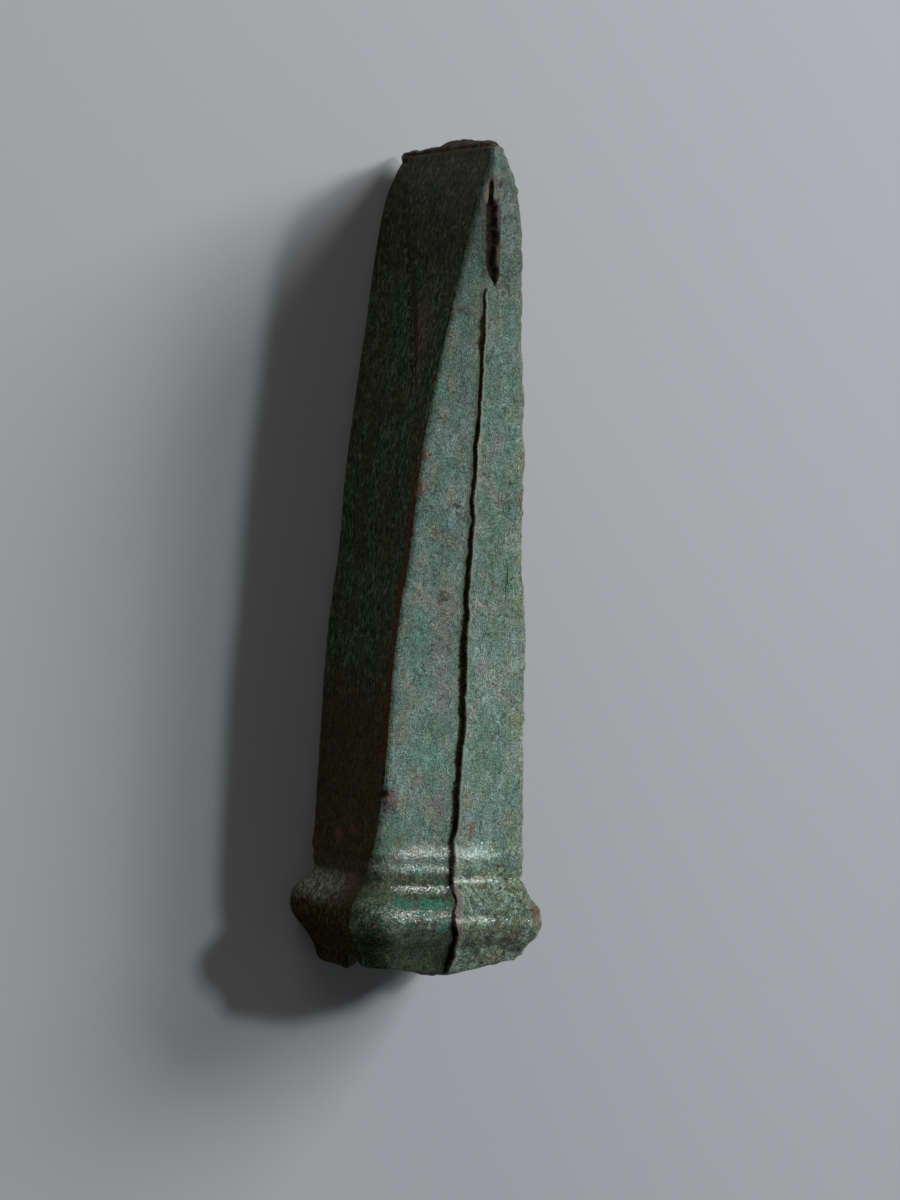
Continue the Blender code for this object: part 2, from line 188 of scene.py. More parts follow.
# Local forms, each at X, Y, height in the casting's frame: radius, and how far it stands out.
LOCAL_FORMS = (
    (13.3, -10.6, 26.4, 2.2, 0.5),  # casting wart on the near long edge
    (13.2, -10.7, 28.1, 1, 0.3),
    (13, -12.1, 27.3, 1, -0.5),  # its notch
    (13.6, 8.6, 81.3, 1.2, -0.4),  # chip on the far long edge
    (14, 7.6, 72.4, 0.9, -0.25),
    (13.4, 10.3, 46, 1, -0.2),
    (15.6, 5.9, 101, 1, -0.22),
    (17.4, 3.4, 112, 1, -0.25),
    (13.5, -4.4, 57.4, 0.5, -0.22),
    (13.9, -2.2, 81, 0.45, -0.15),
    (-15.1, -0.9, 124.8, 1.5, 0.85),  # lump at the back end of the cutting edge
)

# Crusts and pits. Each layer has its grain's size, its octaves or its share of pits, its seed, and how
# far it stands out, or how deep it goes, on each part of the casting.
CRUSTS = (
    ((6, 6, 11), 2, 111, {"all": 0.07}),
    ((1.6, 1.6, 2.2), 4, 101, {"all": 0.06, "narrow": 0.07, "far_edge": 0.33, "collar": 0.06}),
    (0.9, 2, 127, {"far_edge": 0.2}),
    (0.9, 3, 141, {"edge": 0.34}),
    (2, 3, 151, {"inside": 0.12}),
)
PITTINGS = (
    (1.7, 0.35, 121, {"all": 0.05, "narrow": 0.1, "far_edge": 0.1}),
    (1.9, 0.5, 131, {"far_edge": 0.45}),
    (1.1, 0.5, 133, {"far_edge": 0.35}),
    (1.1, 0.5, 143, {"edge": 0.3}),
)

# Stains and patches. Each is an ellipsoid: X, Y and height of its middle, then its reach along each.
SPOTS = {
    "rust": (
        (13.5, -6.2, 66.6, 3, 0.8, 1), (13.5, -6.9, 68, 3, 0.6, 0.7), (13.7, 4, 59, 3, 0.6, 0.9),
        (13.9, -2.2, 81, 3, 0.5, 0.6), (13.6, 8.6, 81, 3, 1.6, 1.5), (14, 7.6, 72.2, 3, 0.8, 1.8),
        (14.6, -0.5, 86.6, 3, 0.75, 3.4), (15, 9.8, 6.5, 4, 2.2, 1.6), (13, 2.8, 22, 3, 0.8, 2.4),
        (12.8, -8.8, 20.4, 3, 0.8, 1.2), (15, -9.2, 9.9, 3, 0.9, 0.7), (14.5, 13.5, 10.2, 4, 2.2, 2.2),
        (16.8, -1.7, 118.6, 3, 0.5, 1.8), (15.5, -5, 100, 3, 0.9, 0.9), (3, -12, 21.5, 2.2, 3, 1.6),
        (-1.5, -12, 20, 2, 3, 1.6), (14.2, -8.6, 77.8, 1.4, 1.4, 1.1), (14, -8.9, 73, 1.6, 1.6, 1.6),
    ),
    "turquoise": (
        (12.5, -5.3, 15.8, 3, 1.2, 1), (15, -9.2, 11.9, 3, 1.1, 0.9), (15, -3.8, 11.2, 4, 4.6, 1.3),
        (12.5, -1.6, 14, 3, 1, 1), (14.5, -4.4, 9, 3, 1.2, 0.8), (14, -9.6, 8.6, 3, 0.9, 0.8),
        (14, -7, 8.2, 4, 1.6, 1.2), (14, -1.8, 7.9, 4, 1.5, 1.3), (15, -8.6, 11.2, 4, 2.2, 1.5),
        (15, -5.6, 9.8, 4, 1.6, 0.9), (13.5, -7.4, 45, 3, 2, 2), (13.5, -7, 53, 3, 2.2, 5),
        (13.5, -5, 33, 3, 4, 4), (16.2, -2.6, 106.5, 3, 0.9, 1.8), (15.2, -4.6, 97.6, 3, 1.3, 3),
        (14.5, -6.5, 88, 3, 1.4, 1.8), (16, -3.4, 103.5, 3, 1.1, 3), (17.2, -0.4, 121.6, 3, 1, 1.6),
    ),
    "ochre": (
        (13, 8.1, 55, 4, 1.5, 6), (13, 9, 38, 4, 1.4, 4.5), (13, 9.6, 22, 4, 1.3, 4),
        (13, 7.4, 63, 4, 1.2, 2), (14, 5.3, 76, 3, 1, 2), (13.7, -1.3, 78.8, 3, 0.6, 1.6),
        (13.3, 1.6, 27.5, 3, 0.8, 3.2), (13.5, -10, 56, 3, 0.6, 1.4), (13.5, -9.4, 53, 3, 0.6, 1.2),
        (14.5, 3.4, 12.2, 4, 1.6, 1.4), (14, 7.6, 79, 3, 1.6, 2), (12.8, -8, 14.6, 3, 2.4, 1),
    ),
    "pitted": (
        (14, 5.4, 71.5, 3, 1.8, 1.6), (14, 7.4, 70.5, 3, 1.2, 2), (13.8, -2, 69.5, 3, 1.4, 2.4),
        (13.6, -4.4, 57.2, 3, 1.4, 1.2), (15, -4.6, 100, 3, 1.6, 2.6), (16.2, 2, 104, 3, 1.4, 3),
        (13.8, -4, 66, 3, 2, 2), (13, -10.8, 26.4, 3, 2, 3.4), (15, -6, 8, 4, 6, 2.4),
        (14, 5, 5.5, 4, 6, 1.6), (14.2, -3, 87, 3, 1.2, 3),
    ),
    "lilac": (
        (13.5, -4.4, 52, 3, 2.4, 8), (13.4, -3.6, 43, 3, 1.8, 7), (13.3, -2.6, 25, 3, 1.6, 6),
        (13, -11, 26.2, 3, 1.5, 2.3), (14, 2.6, 80, 3, 1.4, 3), (14.6, 0.8, 86.6, 3, 0.6, 1.8),
        (13.5, 2.8, 46.5, 3, 1, 1.6), (16.9, 0, 119, 3, 1, 2), (14, 1.4, 11, 4, 0.8, 3.4),
    ),
    # Dark spots painted on the seam side, most at chips, notches and the slot.
    "dark_spots": (
        (13, -12, 27.3, 2.2, 1.2, 0.9), (13.6, 8.8, 79.9, 3, 1.3, 0.9), (13.7, -3, 70.6, 3, 1.2, 0.6),
        (13.8, 5.6, 74.4, 3, 0.7, 0.6), (13.6, -3.9, 56.6, 3, 0.7, 0.6),
        (16.6, -0.7, 116.2, 3, 0.9, 0.9), (16.9, 0.1, 118.8, 3, 0.5, 1.3),
    ),
    "wart": (
        (13.1, -10.7, 26.5, 3, 1.7, 2.7),
    ),
}

# Mesh density.
SIDE_STEPS = ((20, 4, 4, 5, 3, 3, 4, 20), (58,), (12, 4, 4, 12), (24, 6, 20, 8))  # columns of each side
CORNER_STEPS = 8
CORNER_LIMIT = 0.42  # a long edge takes up at most this share of a side
FLOOR_SHARES = (0, 0.4, 0.8)
LIP_SHARES = (0.25, 0.55, 0.85)
LIP_DROP = 0.5
EDGE_SHARES = (0.12, 0.35, 0.65, 1)
RING_GAPS = ((20, 0.3), (103, 0.37), (122.6, 0.36), (LENGTH, 0.2))
SOCKET_ROWS = 16
EDGE_GIVE = 0.12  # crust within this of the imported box's faces is eased inward
SEAM_SIDE, PLUS_Y_SIDE, BACK_SIDE, MINUS_Y_SIDE = range(4)

# Noise: how much finer and fainter each octave is than the one before, and how far it is shifted.
OCTAVE_STEP = 2.03
OCTAVE_GAIN = 0.55
OCTAVE_SHIFT = 11.7
CELL_PRIMES = (73856093, 19349663, 83492791)
SEED_PRIME = 49979687
MIX_PRIME = 1274126177


def smooth(value):
    """Ease from 0 to 1 as value goes from 0 to 1."""
    value = np.clip(value, 0, 1)
    return value * value * (3 - 2 * value)


def rise(value, start, end):
    """Ease from 0 at the start to 1 at the end."""
    return smooth((value - start) / (end - start))


def window(value, start, end, fade):
    """1 between start and end and 0 outside, eased over the fade at both ends."""
    return smooth((value - start) / fade) * smooth((end - value) / fade)


def bell(value, centre, width):
    """A bell of height 1."""
    return np.exp(-((value - centre) / width) ** 2)


def curve(table, column, at):
    """Smooth curve through a table's rows, from its first column, that never overshoots."""
    places, values = table[:, 0], table[:, column]
    steps = np.diff(values) / np.diff(places)
    before, after = np.append(steps[0], steps), np.append(steps, steps[-1])
    alike = before * after > 0
    slopes = np.where(alike, 2 * before * after / np.where(alike, before + after, 1), 0)
    at = np.clip(at, places[0], places[-1])
    low = np.clip(np.searchsorted(places, at, side="right") - 1, 0, len(places) - 2)
    gap = places[low + 1] - places[low]
    t = (at - places[low]) / gap
    bend = t * t * (3 - 2 * t)
    level = values[low] * (1 - bend) + values[low + 1] * bend
    return level + gap * (slopes[low] * t * (1 - t) ** 2 - slopes[low + 1] * t * t * (1 - t))


# ------------ noise


def cell_value(cell, seed):
    """A repeatable number from -1 to 1 for each whole-numbered cell."""
    x, y, z = (cell[..., axis] * prime for axis, prime in enumerate(CELL_PRIMES))
    mixed = x ^ y ^ z ^ (seed * SEED_PRIME)
    mixed = ((mixed ^ (mixed >> 13)) * MIX_PRIME) & 0x7FFFFFFF
    return ((mixed ^ (mixed >> 15)) & 0xFFFF) / 32767.5 - 1


def lumps(points, seed):
    """Smooth noise from -1 to 1, with lumps one unit across."""
    cell = np.floor(points).astype(np.int64)
    t = points - cell
    t = t * t * t * (t * (t * 6 - 15) + 10)
    total = np.zeros(points.shape[:-1])
    for corner in np.ndindex(2, 2, 2):
        weight = np.prod(np.where(corner, t, 1 - t), axis=-1)
        total += weight * cell_value(cell + np.array(corner), seed)
    return total


def rough(points, size, octaves, seed):
    """Noise from about -1 to 1 whose largest lumps have the given size."""
    scaled = points / np.asarray(size)
    total = np.zeros(points.shape[:-1])
    reach = 0
    for octave in range(octaves):
        weight = OCTAVE_GAIN ** octave
        total += weight * lumps(scaled * OCTAVE_STEP ** octave + OCTAVE_SHIFT * octave, seed + octave)
        reach += weight
    return total / reach


def rough_along(z, size, octaves, seed):
    """Noise that depends on the height alone."""
    points = np.stack([z, np.zeros_like(z), np.zeros_like(z)], axis=-1)
    return rough(points, size, octaves, seed)


def pits(points, size, share, seed):
    """Depth from 0 to 1 of round pits, in a share of the cells of the given size."""
    scaled = points / size
    cell = np.floor(scaled).astype(np.int64)
    depth = np.zeros(points.shape[:-1])
    for shift in np.ndindex(3, 3, 3):
        near = cell + np.array(shift) - 1
        centre = np.stack([0.5 + 0.3 * cell_value(near, seed + k) for k in range(3)], axis=-1)
        radius = 0.42 + 0.16 * cell_value(near, seed + 3)
        kept = cell_value(near, seed + 4) < 2 * share - 1
        distance = np.linalg.norm(scaled - near - centre, axis=-1)
        depth = np.maximum(depth, kept * smooth(1 - distance / radius))
    return depth


# ------------ the casting's form


def profile(z, column):
    """Breadth, thickness or corner radius at a height."""
    return curve(STATIONS, column, z)


def section_centre(z):
    """Y of the section's centre, from the casting's slight bow."""
    t = (z - BOW_SPAN[0]) / (BOW_SPAN[1] - BOW_SPAN[0])
    return -BOW * np.sin(math.pi * np.clip(t, 0, 1))


def seam_place(z):
    """Where the seam runs across a narrow side, from the section's centre."""
    wander = np.sin(z / 3.1) + 0.6 * np.sin(z / 1.17) + 1.5 * rough_along(z, 1.6, 3, 5)
    return curve(SEAM_LINE, 1, z) + SEAM_WANDER * wander - section_centre(z)


def side_direction(side):
    """Outward and along directions of a side, in the section's plane."""
    angle = side * math.pi / 2
    outward = np.array((math.cos(angle), math.sin(angle), 0))
    along = np.array((-math.sin(angle), math.cos(angle), 0))
    return outward, along


def side_depth(side, z):
    """Distance from the section's centre to a side."""
    return profile(z, BREADTH if side % 2 == 0 else THICKNESS) / 2


def corner_radius(side, z):
    """Radius of the long edge at the end of a side."""
    limit = CORNER_LIMIT * np.minimum(profile(z, BREADTH), profile(z, THICKNESS))
    added = curve(NEAR_CORNER, 1, z) if side % 4 == MINUS_Y_SIDE else 0
    return np.minimum(limit, profile(z, RADIUS) * CORNER_SOFTNESS[side % 4] + added)


def side_ends(side, z):
    """The two ends of a side's flat part, from the section's centre."""
    half = side_depth(side + 1, z)
    return corner_radius(side - 1, z) - half, half - corner_radius(side, z)


def hollow_stops(z, ends):
    """Places of the hollow's steep side and of its straight side at a height."""
    t = np.clip((z - HOLLOW_TIP[1]) / (HOLLOW_TOP[1] - HOLLOW_TIP[1]), 0, 1.25)
    steep = HOLLOW_TIP[0] + (HOLLOW_TOP[0] - HOLLOW_TIP[0]) * t
    straight = np.maximum(HOLLOW_SIDE, steep + 2 * HOLLOW_STEP)
    straight = np.minimum(ends[1] - HOLLOW_STEP, straight)
    steep = np.minimum(steep, straight - 2 * HOLLOW_STEP)
    return steep - HOLLOW_STEP, steep + HOLLOW_STEP, straight


def side_stops(side, z):
    """Places along a side between which its columns are evenly spaced."""
    ends = side_ends(side, z)
    if side == PLUS_Y_SIDE:
        return ends
    if side == MINUS_Y_SIDE:
        return (ends[0],) + hollow_stops(z, ends) + (ends[1],)
    half = (ends[1] - ends[0]) / 2
    squeeze = np.minimum(1, 0.3 * half)
    if side == BACK_SIDE:
        seam = np.clip(-seam_place(z), ends[0] + squeeze, ends[1] - squeeze)
        return ends[0], seam - 0.8 * squeeze, seam, seam + 0.8 * squeeze, ends[1]
    seam = np.clip(seam_place(z), ends[0] + 1.9 * squeeze, ends[1] - 1.6 * squeeze)
    near = [seam + shift * squeeze for shift in SEAM_COLUMNS]
    return (ends[0], *near, ends[1])


def side_places(side, z):
    """Places of a side's columns, for heights with one column each."""
    stops = side_stops(side, z)
    places = [stops[0][:, 0]]
    for start, end, steps in zip(stops, stops[1:], SIDE_STEPS[side]):
        for step in range(1, steps + 1):
            column = len(places)
            low, high = start[:, column], end[:, column]
            places.append(low + (high - low) * step / steps)
    return np.stack(places, axis=-1)


def plus_y_half(side, place, z):
    """1 on the mould half towards +Y, 0 on the other one."""
    if side == PLUS_Y_SIDE:
        return np.ones_like(place)
    if side == MINUS_Y_SIDE:
        return np.zeros_like(place)
    facing = 1 if side == SEAM_SIDE else -1
    return smooth(0.5 + (facing * place - seam_place(z)) / 0.3)


def lip_chip(side, share):
    """How much of the lip is missing, with share from 0 to 1 along a side."""
    if side == SEAM_SIDE:
        rising = SEAM_SIDE_CHIP * np.maximum(0, 2 * share - 1)
        return rising + NEAR_CHIP * (1 - smooth(share / 0.45))
    if side == PLUS_Y_SIDE:
        return CORNER_CHIP * (1 - smooth(share / 0.6))
    if side == MINUS_Y_SIDE:
        place = (share - 0.5) * STATIONS[0, BREADTH]
        opening = rise(place, *FACE_CHIP_SPAN)
        closing = smooth((share - 0.85) / 0.15)
        return FACE_CHIP * opening + (NEAR_CHIP - FACE_CHIP) * closing
    return np.zeros_like(share)


def lifted(z, missing):
    """Height of a ring point once the missing part of the lip is cut away."""
    return z + missing * np.maximum(0, 1 - z / LIP_REACH) ** 2


def surface_height(z, half):
    """Height at which to read the profile, lower on the slipped mould half."""
    return z + CREST_MISMATCH * half * (1 - smooth(z / CREST_MISMATCH_END))


def crevice_width(z):
    """Uneven width of the groove beside the flash."""
    return curve(CREVICE_WIDTH, 1, z) * (1 + 0.4 * rough_along(z, 1.2, 3, 25))


def fin_relief(distance, z):
    """The flash that stands up along the seam, steep towards -Y and gentle towards +Y."""
    tall = curve(FIN_HEIGHT, 1, z)
    tall = tall * np.maximum(0.2, 0.9 + 1.1 * rough_along(z, 1.5, 4, 21))
    steep = smooth(1 + distance / FIN_STEEP_FLANK)
    beyond = np.maximum(0, distance - curve(FIN_WIDTH, 1, z))
    gentle = np.maximum(0, 1 - beyond / FIN_GENTLE_FLANK) ** 1.7
    return tall * np.where(distance < 0, steep, gentle)


def crevice_relief(distance, z):
    """Groove at the foot of the flash's steep flank."""
    width = crevice_width(z)
    uneven = 0.8 + 0.5 * rough_along(z, 2.2, 3, 27)
    depth = CREVICE_DEPTH * window(z, 0, SEAM_END, 3) * uneven
    return -depth * bell(distance, -0.2 - 0.3 * width, 0.45 * width)


def recess_inside(y, z):
    """1 in the ragged recess near the blade, 0 outside it."""
    across = y - curve(RECESS_LINE, 1, z)
    half_width = curve(RECESS_LINE, 2, z)
    right = half_width * (1 + 0.75 * rough_along(z, 1, 3, 41))
    left = half_width * (1 + 0.15 * rough_along(z, 2, 3, 47))
    reach = np.abs(across) / np.maximum(0.02, np.where(across > 0, right, left))
    return smooth(2.4 * (1 - reach)) * window(z, RECESS_START, RECESS_END, 0.6)


def recess_rim(y, z):
    """1 on the crusty lips beside the recess."""
    beside = np.abs(y - curve(RECESS_LINE, 1, z)) - curve(RECESS_LINE, 2, z)
    uneven = np.maximum(0, 0.5 + 1.4 * rough_along(z + 3 * np.sign(y), 1.4, 3, 49))
    return uneven * bell(beside, 0.35, 0.4) * window(z, RECESS_START - 0.5, RECESS_END + 0.5, 1.5)


def hollow_shares(place, z):
    """How deep a place lies in the hollow, 1 at its crease, and whether it lies in the hollow at all."""
    start, bottom, straight = hollow_stops(z, side_ends(MINUS_Y_SIDE, z))
    steep = smooth((place - start) / (bottom - start))
    gentle = np.clip((straight - place) / (straight - bottom), 0, 1)
    inside = steep * smooth((straight + 0.2 - place) / 0.5) * window(z, HOLLOW_TIP[1], HOLLOW_END, 5)
    return np.where(place <= bottom, steep, gentle), inside


def hollow_relief(place, z):
    """The shallow hollow and the fine lines that run along it."""
    across, inside = hollow_shares(place, z)
    depth = HOLLOW_DEPTH * window(z, HOLLOW_TIP[1], HOLLOW_END, 10) * across
    turns = 2 * math.pi * place / STRIA_GAP
    lines = np.sin(turns + 1.5 * rough_along(z, 9, 2, 61)) + 0.7 * np.sin(turns / 1.7 + 1)
    return STRIA_DEPTH * lines * inside - depth


def banded(halves, z):
    """Sum of the bands round the casting, for each of the two mould halves."""
    return [sum(out * bell(z, centre, width) for centre, out, width in bands) for bands in halves]


def band_relief(half, z):
    """Ridges and hollows round the neck and the collar, set apart on the two mould halves."""
    minus_y, plus_y = banded(BANDS, z)
    return minus_y * (1 - half) + plus_y * half


def side_relief(side, place, half, z):
    """All the forms that belong to one side, as a distance outward."""
    relief = band_relief(half, z)
    if side in (MINUS_Y_SIDE, PLUS_Y_SIDE):
        line_height, out, width = EDGE_LINE
        relief = relief + out * bell(z, line_height, width)
        return relief + (hollow_relief(place, z) if side == MINUS_Y_SIDE else 0)
    if side == BACK_SIDE:
        out, flank = BACK_FIN
        distance = np.abs(-place - seam_place(z))
        return relief + out * np.maximum(0, 1 - distance / flank) * window(z, *BACK_FIN_SPAN)
    distance = place - seam_place(z)
    relief = relief + fin_relief(distance, z) + crevice_relief(distance, z)
    relief = relief + ROOF_HEIGHT * (1 - np.abs(distance) / (side_depth(PLUS_Y_SIDE, z) + 0.5))
    y = place + section_centre(z)
    return relief + RIM_SWELL * recess_rim(y, z) - RECESS_DEPTH * recess_inside(y, z)


def lip_raggedness(x, y):
    """Uneven loss along the lip, around the mouth."""
    points = np.stack([x, y, np.zeros_like(x)], axis=-1)
    return LIP_RAGGEDNESS * (rough(points, 2.6, 4, 81) + 0.2)


def placed(outward, along, depth, place, half, z):
    """Points of the outside, slipped with their mould half and moved with the casting's bow."""
    slip = HALF_SHIFT * (1 - rise(z, 0.5 * HALF_SHIFT_END, HALF_SHIFT_END))
    moved = np.stack([(2 * half - 1) * slip, section_centre(z), z], axis=-1)
    return outward * depth[..., None] + along * place[..., None] + moved


def side_grid(side, heights):
    """One side's flat part: points and outward directions, one row for each ring."""
    outward, along = side_direction(side)
    count = sum(SIDE_STEPS[side]) + 1
    ring = np.repeat(heights[:, None], count, axis=1)
    mouth = side_places(side, np.zeros_like(ring[:1]))
    share = (mouth - mouth[:, :1]) / (mouth[:, -1:] - mouth[:, :1])
    at_mouth = outward * side_depth(side, 0) + along * mouth[..., None]
    missing = lip_chip(side, share) + lip_raggedness(at_mouth[..., 0], at_mouth[..., 1])
    z = lifted(ring, missing)
    place = side_places(side, z)
    half = plus_y_half(side, place, z)
    depth = side_depth(side, surface_height(z, half)) + side_relief(side, place, half, z)
    points = placed(outward, along, depth, place, half, z)
    return points, np.broadcast_to(outward, points.shape)


def corner_grid(side, heights):
    """The rounded long edge between a side and the next one, without the sides' own columns."""
    outward, along = side_direction(side)
    turn = np.arange(1, CORNER_STEPS) / CORNER_STEPS
    ring = np.repeat(heights[:, None], len(turn), axis=1)
    end, start = lip_chip(side, np.ones(1)), lip_chip((side + 1) % 4, np.zeros(1))
    reach = side_depth(side + 1, 0) * along + side_depth(side, 0) * outward
    missing = end * (1 - turn) + start * turn + lip_raggedness(reach[0], reach[1])
    z = lifted(ring, missing)
    half = np.full_like(z, 1 if side in (SEAM_SIDE, PLUS_Y_SIDE) else 0)
    read = surface_height(z, half)
    radius = corner_radius(side, read)
    angle = turn * math.pi / 2
    bulge = radius + band_relief(half, z)
    across = side_depth(side, read) - radius + bulge * np.cos(angle)
    beside = side_depth(side + 1, read) - radius + bulge * np.sin(angle)
    points = placed(outward, along, across, beside, half, z)
    facing = outward * np.cos(angle)[:, None] + along * np.sin(angle)[:, None]
    return points, np.broadcast_to(facing, points.shape)


def ring_heights():
    """Heights of the rings, closest at the collar and at the blade."""
    heights = [0]
    for end, gap in RING_GAPS:
        start = heights[-1]
        steps = round((end - start) / gap)
        heights += [start + (end - start) * (k + 1) / steps for k in range(steps)]
    return np.array(heights)


def outside_grid():
    """The whole outside, one row for each ring, counter-clockwise seen from the blade."""
    heights = ring_heights()
    parts = [grid(side, heights) for side in range(4) for grid in (side_grid, corner_grid)]
    points, facing = (np.concatenate(group, axis=1) for group in zip(*parts))
    below = np.maximum(0, LIP_ROUNDING - heights)
    inset = LIP_ROUNDING - np.sqrt(np.maximum(0, LIP_ROUNDING ** 2 - below ** 2))
    return points - facing * inset[:, None, None], facing


def socket_ring(z):
    """One ring of the socket, with a point for each point of an outside ring."""
    levels, *columns = SOCKET_STATIONS.T
    breadth, thickness, radius = (np.interp(z, levels, column) for column in columns)
    points = []
    for side in range(4):
        outward, along = side_direction(side)
        depth, reach = (breadth, thickness) if side % 2 == 0 else (thickness, breadth)
        end = reach / 2 - radius
        mouth = side_places(side, np.zeros((1, sum(SIDE_STEPS[side]) + 1)))[0]
        place = end * (2 * (mouth - mouth[0]) / (mouth[-1] - mouth[0]) - 1)
        points.append(outward * depth / 2 + along * place[:, None])
        angle = np.arange(1, CORNER_STEPS)[:, None] / CORNER_STEPS * math.pi / 2
        across = depth / 2 - radius + radius * np.cos(angle)
        points.append(outward * across + along * (end + radius * np.sin(angle)))
    ring = np.concatenate(points)
    ring[:, 2] = z
    return ring


def socket_grid(lip):
    """The socket, from the middle of its floor out to the mouth's lip."""
    rings = [socket_ring(z) for z in np.linspace(SOCKET_DEPTH, 0, SOCKET_ROWS)]
    centre = np.array((0, 0, SOCKET_DEPTH))
    floor = [centre + (rings[0] - centre) * share for share in FLOOR_SHARES]
    mouth = rings[-1]
    mouth[:, 2] = lip[:, 2] + LIP_DROP
    shares = np.array([(share, share, 1 - (1 - share) ** 2) for share in LIP_SHARES])
    return np.concatenate([floor, rings, mouth + (lip - mouth) * shares[:, None]])


def edge_grid(ring):
    """Rows that close the blade along the rough crest of its cutting edge."""
    seam_columns = sum(SIDE_STEPS[SEAM_SIDE]) + CORNER_STEPS
    count = sum(SIDE_STEPS[PLUS_Y_SIDE]) + 1
    back_end = len(ring) - (CORNER_STEPS - 1)
    plus = ring[seam_columns:seam_columns + count]
    minus = ring[back_end - count:back_end]
    middle = (plus + minus[::-1]) / 2
    place, out, width = EDGE_PEAK
    middle[:, 2] += EDGE_RIDGE + out * bell(middle[:, 0], place, width)
    middle[:, 2] += EDGE_RAGGEDNESS * rough_along(middle[:, 0], 1.3, 3, 91)
    step = np.zeros(len(ring), dtype=int)
    step[seam_columns + 1:seam_columns + count] = 1
    step[back_end - count + 1:back_end] = -1
    crest = middle[np.cumsum(step)]
    shares = np.array([(share, share, math.sin(share * math.pi / 2)) for share in EDGE_SHARES])
    return ring + (crest - ring) * shares[:, None]


def grid_normals(grid):
    """Outward unit normals of a grid that is closed round its columns."""
    across = np.roll(grid, -1, axis=1) - np.roll(grid, 1, axis=1)
    along = np.gradient(grid, axis=0)
    normals = np.cross(across, along)
    length = np.linalg.norm(normals, axis=-1, keepdims=True)
    return normals / np.maximum(length, 1e-9)


# ------------ surface relief and masks


def layered(texture, layers, grid, facts):
    """How far several layers of one texture stand out at each point."""
    total = 0
    for size, amount, seed, parts in layers:
        reach = sum(out * facts[part] for part, out in parts.items())
        total = total + reach * texture(grid, size, amount, seed)
    return total


def crusted(grid, facts):
    """The grid with its crusts, pits, chips and dents pushed in or out along the normals."""
    push = layered(rough, CRUSTS, grid, facts) - layered(pits, PITTINGS, grid, facts)
    uneven = 1 + 0.5 * rough(grid, 0.8, 2, 161)
    for *centre, radius, out in LOCAL_FORMS:
        distance = np.linalg.norm(grid - np.array(centre), axis=-1)
        push += out * smooth(1.25 * (1 - distance / radius)) * uneven
    push *= facts["free"]
    return grid + grid_normals(grid) * push[..., None]


def facts_about(grid, facing, kinds):
    """Where each point of the grid lies on the casting, as shares from 0 to 1."""
    z = grid[..., 2]
    every = np.ones_like(z)
    outside, edge, inside = ((kinds == kind)[:, None] * every for kind in ("outside", "edge", "inside"))
    out_x, out_y = facing[..., 0], facing[..., 1]
    narrow = outside * smooth(1.6 * out_x - 0.3)
    to_edge = grid[..., 1] - section_centre(z) - profile(z, THICKNESS) / 2
    free = every.copy()
    free[[0, -1]] = 0
    return {
        "all": every,
        "free": free,
        "inside": inside,
        "edge": np.maximum(edge, outside * rise(z, 124.3, 124.6)),
        "narrow": narrow,
        "far_edge": np.maximum(narrow * smooth((to_edge + 2.6) / 2.2),
                               outside * smooth(3 * out_x) * smooth(3 * out_y)),
        # The rounded far long edge of the dark face, where a sheen of reflected light is painted.
        "far_arris_painted_sheen": outside * smooth(-3 * out_x) * smooth(-3 * out_y),
        "wide": outside * smooth(1.6 * np.abs(out_y) - 0.3),
        "dark_face": outside * smooth(-2.2 * out_y - 0.2),
        "back": outside * smooth(-1.6 * out_x - 0.3),
        "front": outside * smooth(3 * out_x),
        "collar": outside * (1 - rise(z, 14, 21)),
    }


def spot(grid, centre, size):
    """1 at a centre given as X, Y, height, easing to 0 at the size's distance along each axis."""
    scaled = (grid - np.array(centre)) / np.array(size)
    return smooth(1 - np.linalg.norm(scaled, axis=-1) / 1.3)


def stain(grid, kind):
    """The strongest of a kind's spots at each point."""
    return np.max([spot(grid, row[:3], row[3:]) for row in SPOTS[kind]], axis=0)


def seam_masks(distance, z, narrow):
    """Masks of the flash, whose crest has pale flakes and a painted highlight, of the dark groove with its
    dirt and painted shadow, and of the dirt and painted shade beside it.
    """
    width = crevice_width(z)
    span = narrow * (1 - rise(z, SEAM_END - 0.9, SEAM_END + 0.1)) * rise(z, 0, 3)
    left = np.clip((distance + 1.1 * width + 0.15) / (0.8 * width), 0, 1)
    top = smooth((curve(FIN_WIDTH, 1, z) + 0.35 - distance) / 0.3)
    crest = bell(distance, 0.16, 0.16) * (curve(FIN_HEIGHT, 1, z) > 0.05)
    return {
        # The groove and the flash's cast shadow beside it, painted dark.
        "crevice_dirt_and_shadow": span * left * np.clip((0.2 - distance) / 0.45, 0, 1),
        "seam_dirt_and_shade": span * np.clip(1 + distance / 1.9, 0, 1) * (distance < 0.2),
        "fin_crest_flakes_and_highlight": narrow * crest * (1 - rise(z, SEAM_END - 1.5, SEAM_END)),
        "collar_fin": narrow * smooth(1 + distance / 0.25) * top * window(z, 4, 20, 2.5),
    }


def recess_masks(y, z, narrow):
    """Masks of the recess near the blade, with painted shade in its depth and on its lit -Y wall, its
    ragged far side, and the slot that runs on from it.
    """
    beside = y - curve(RECESS_LINE, 1, z)
    reach = curve(RECESS_LINE, 2, z)
    # The recess's paint reaches further towards -Y, laying painted shade on the lit wall there.
    across = np.maximum(beside, -0.75 * beside) / np.maximum(reach, 0.3)
    return {
        "recess": narrow * smooth(1.5 * (1.25 - across)) * window(z, 103.2, 117.6, 1),
        "recess_edge": narrow * bell(beside, reach + 0.15, 0.35) * window(z, 104, 117, 1),
        "slot": narrow * bell(beside, 0, 0.45) * window(z, 116.2, 120.3, 1.2),
        "slot_lip": narrow * bell(beside, -0.75, 0.5) * bell(z, 117, 1.5),
    }


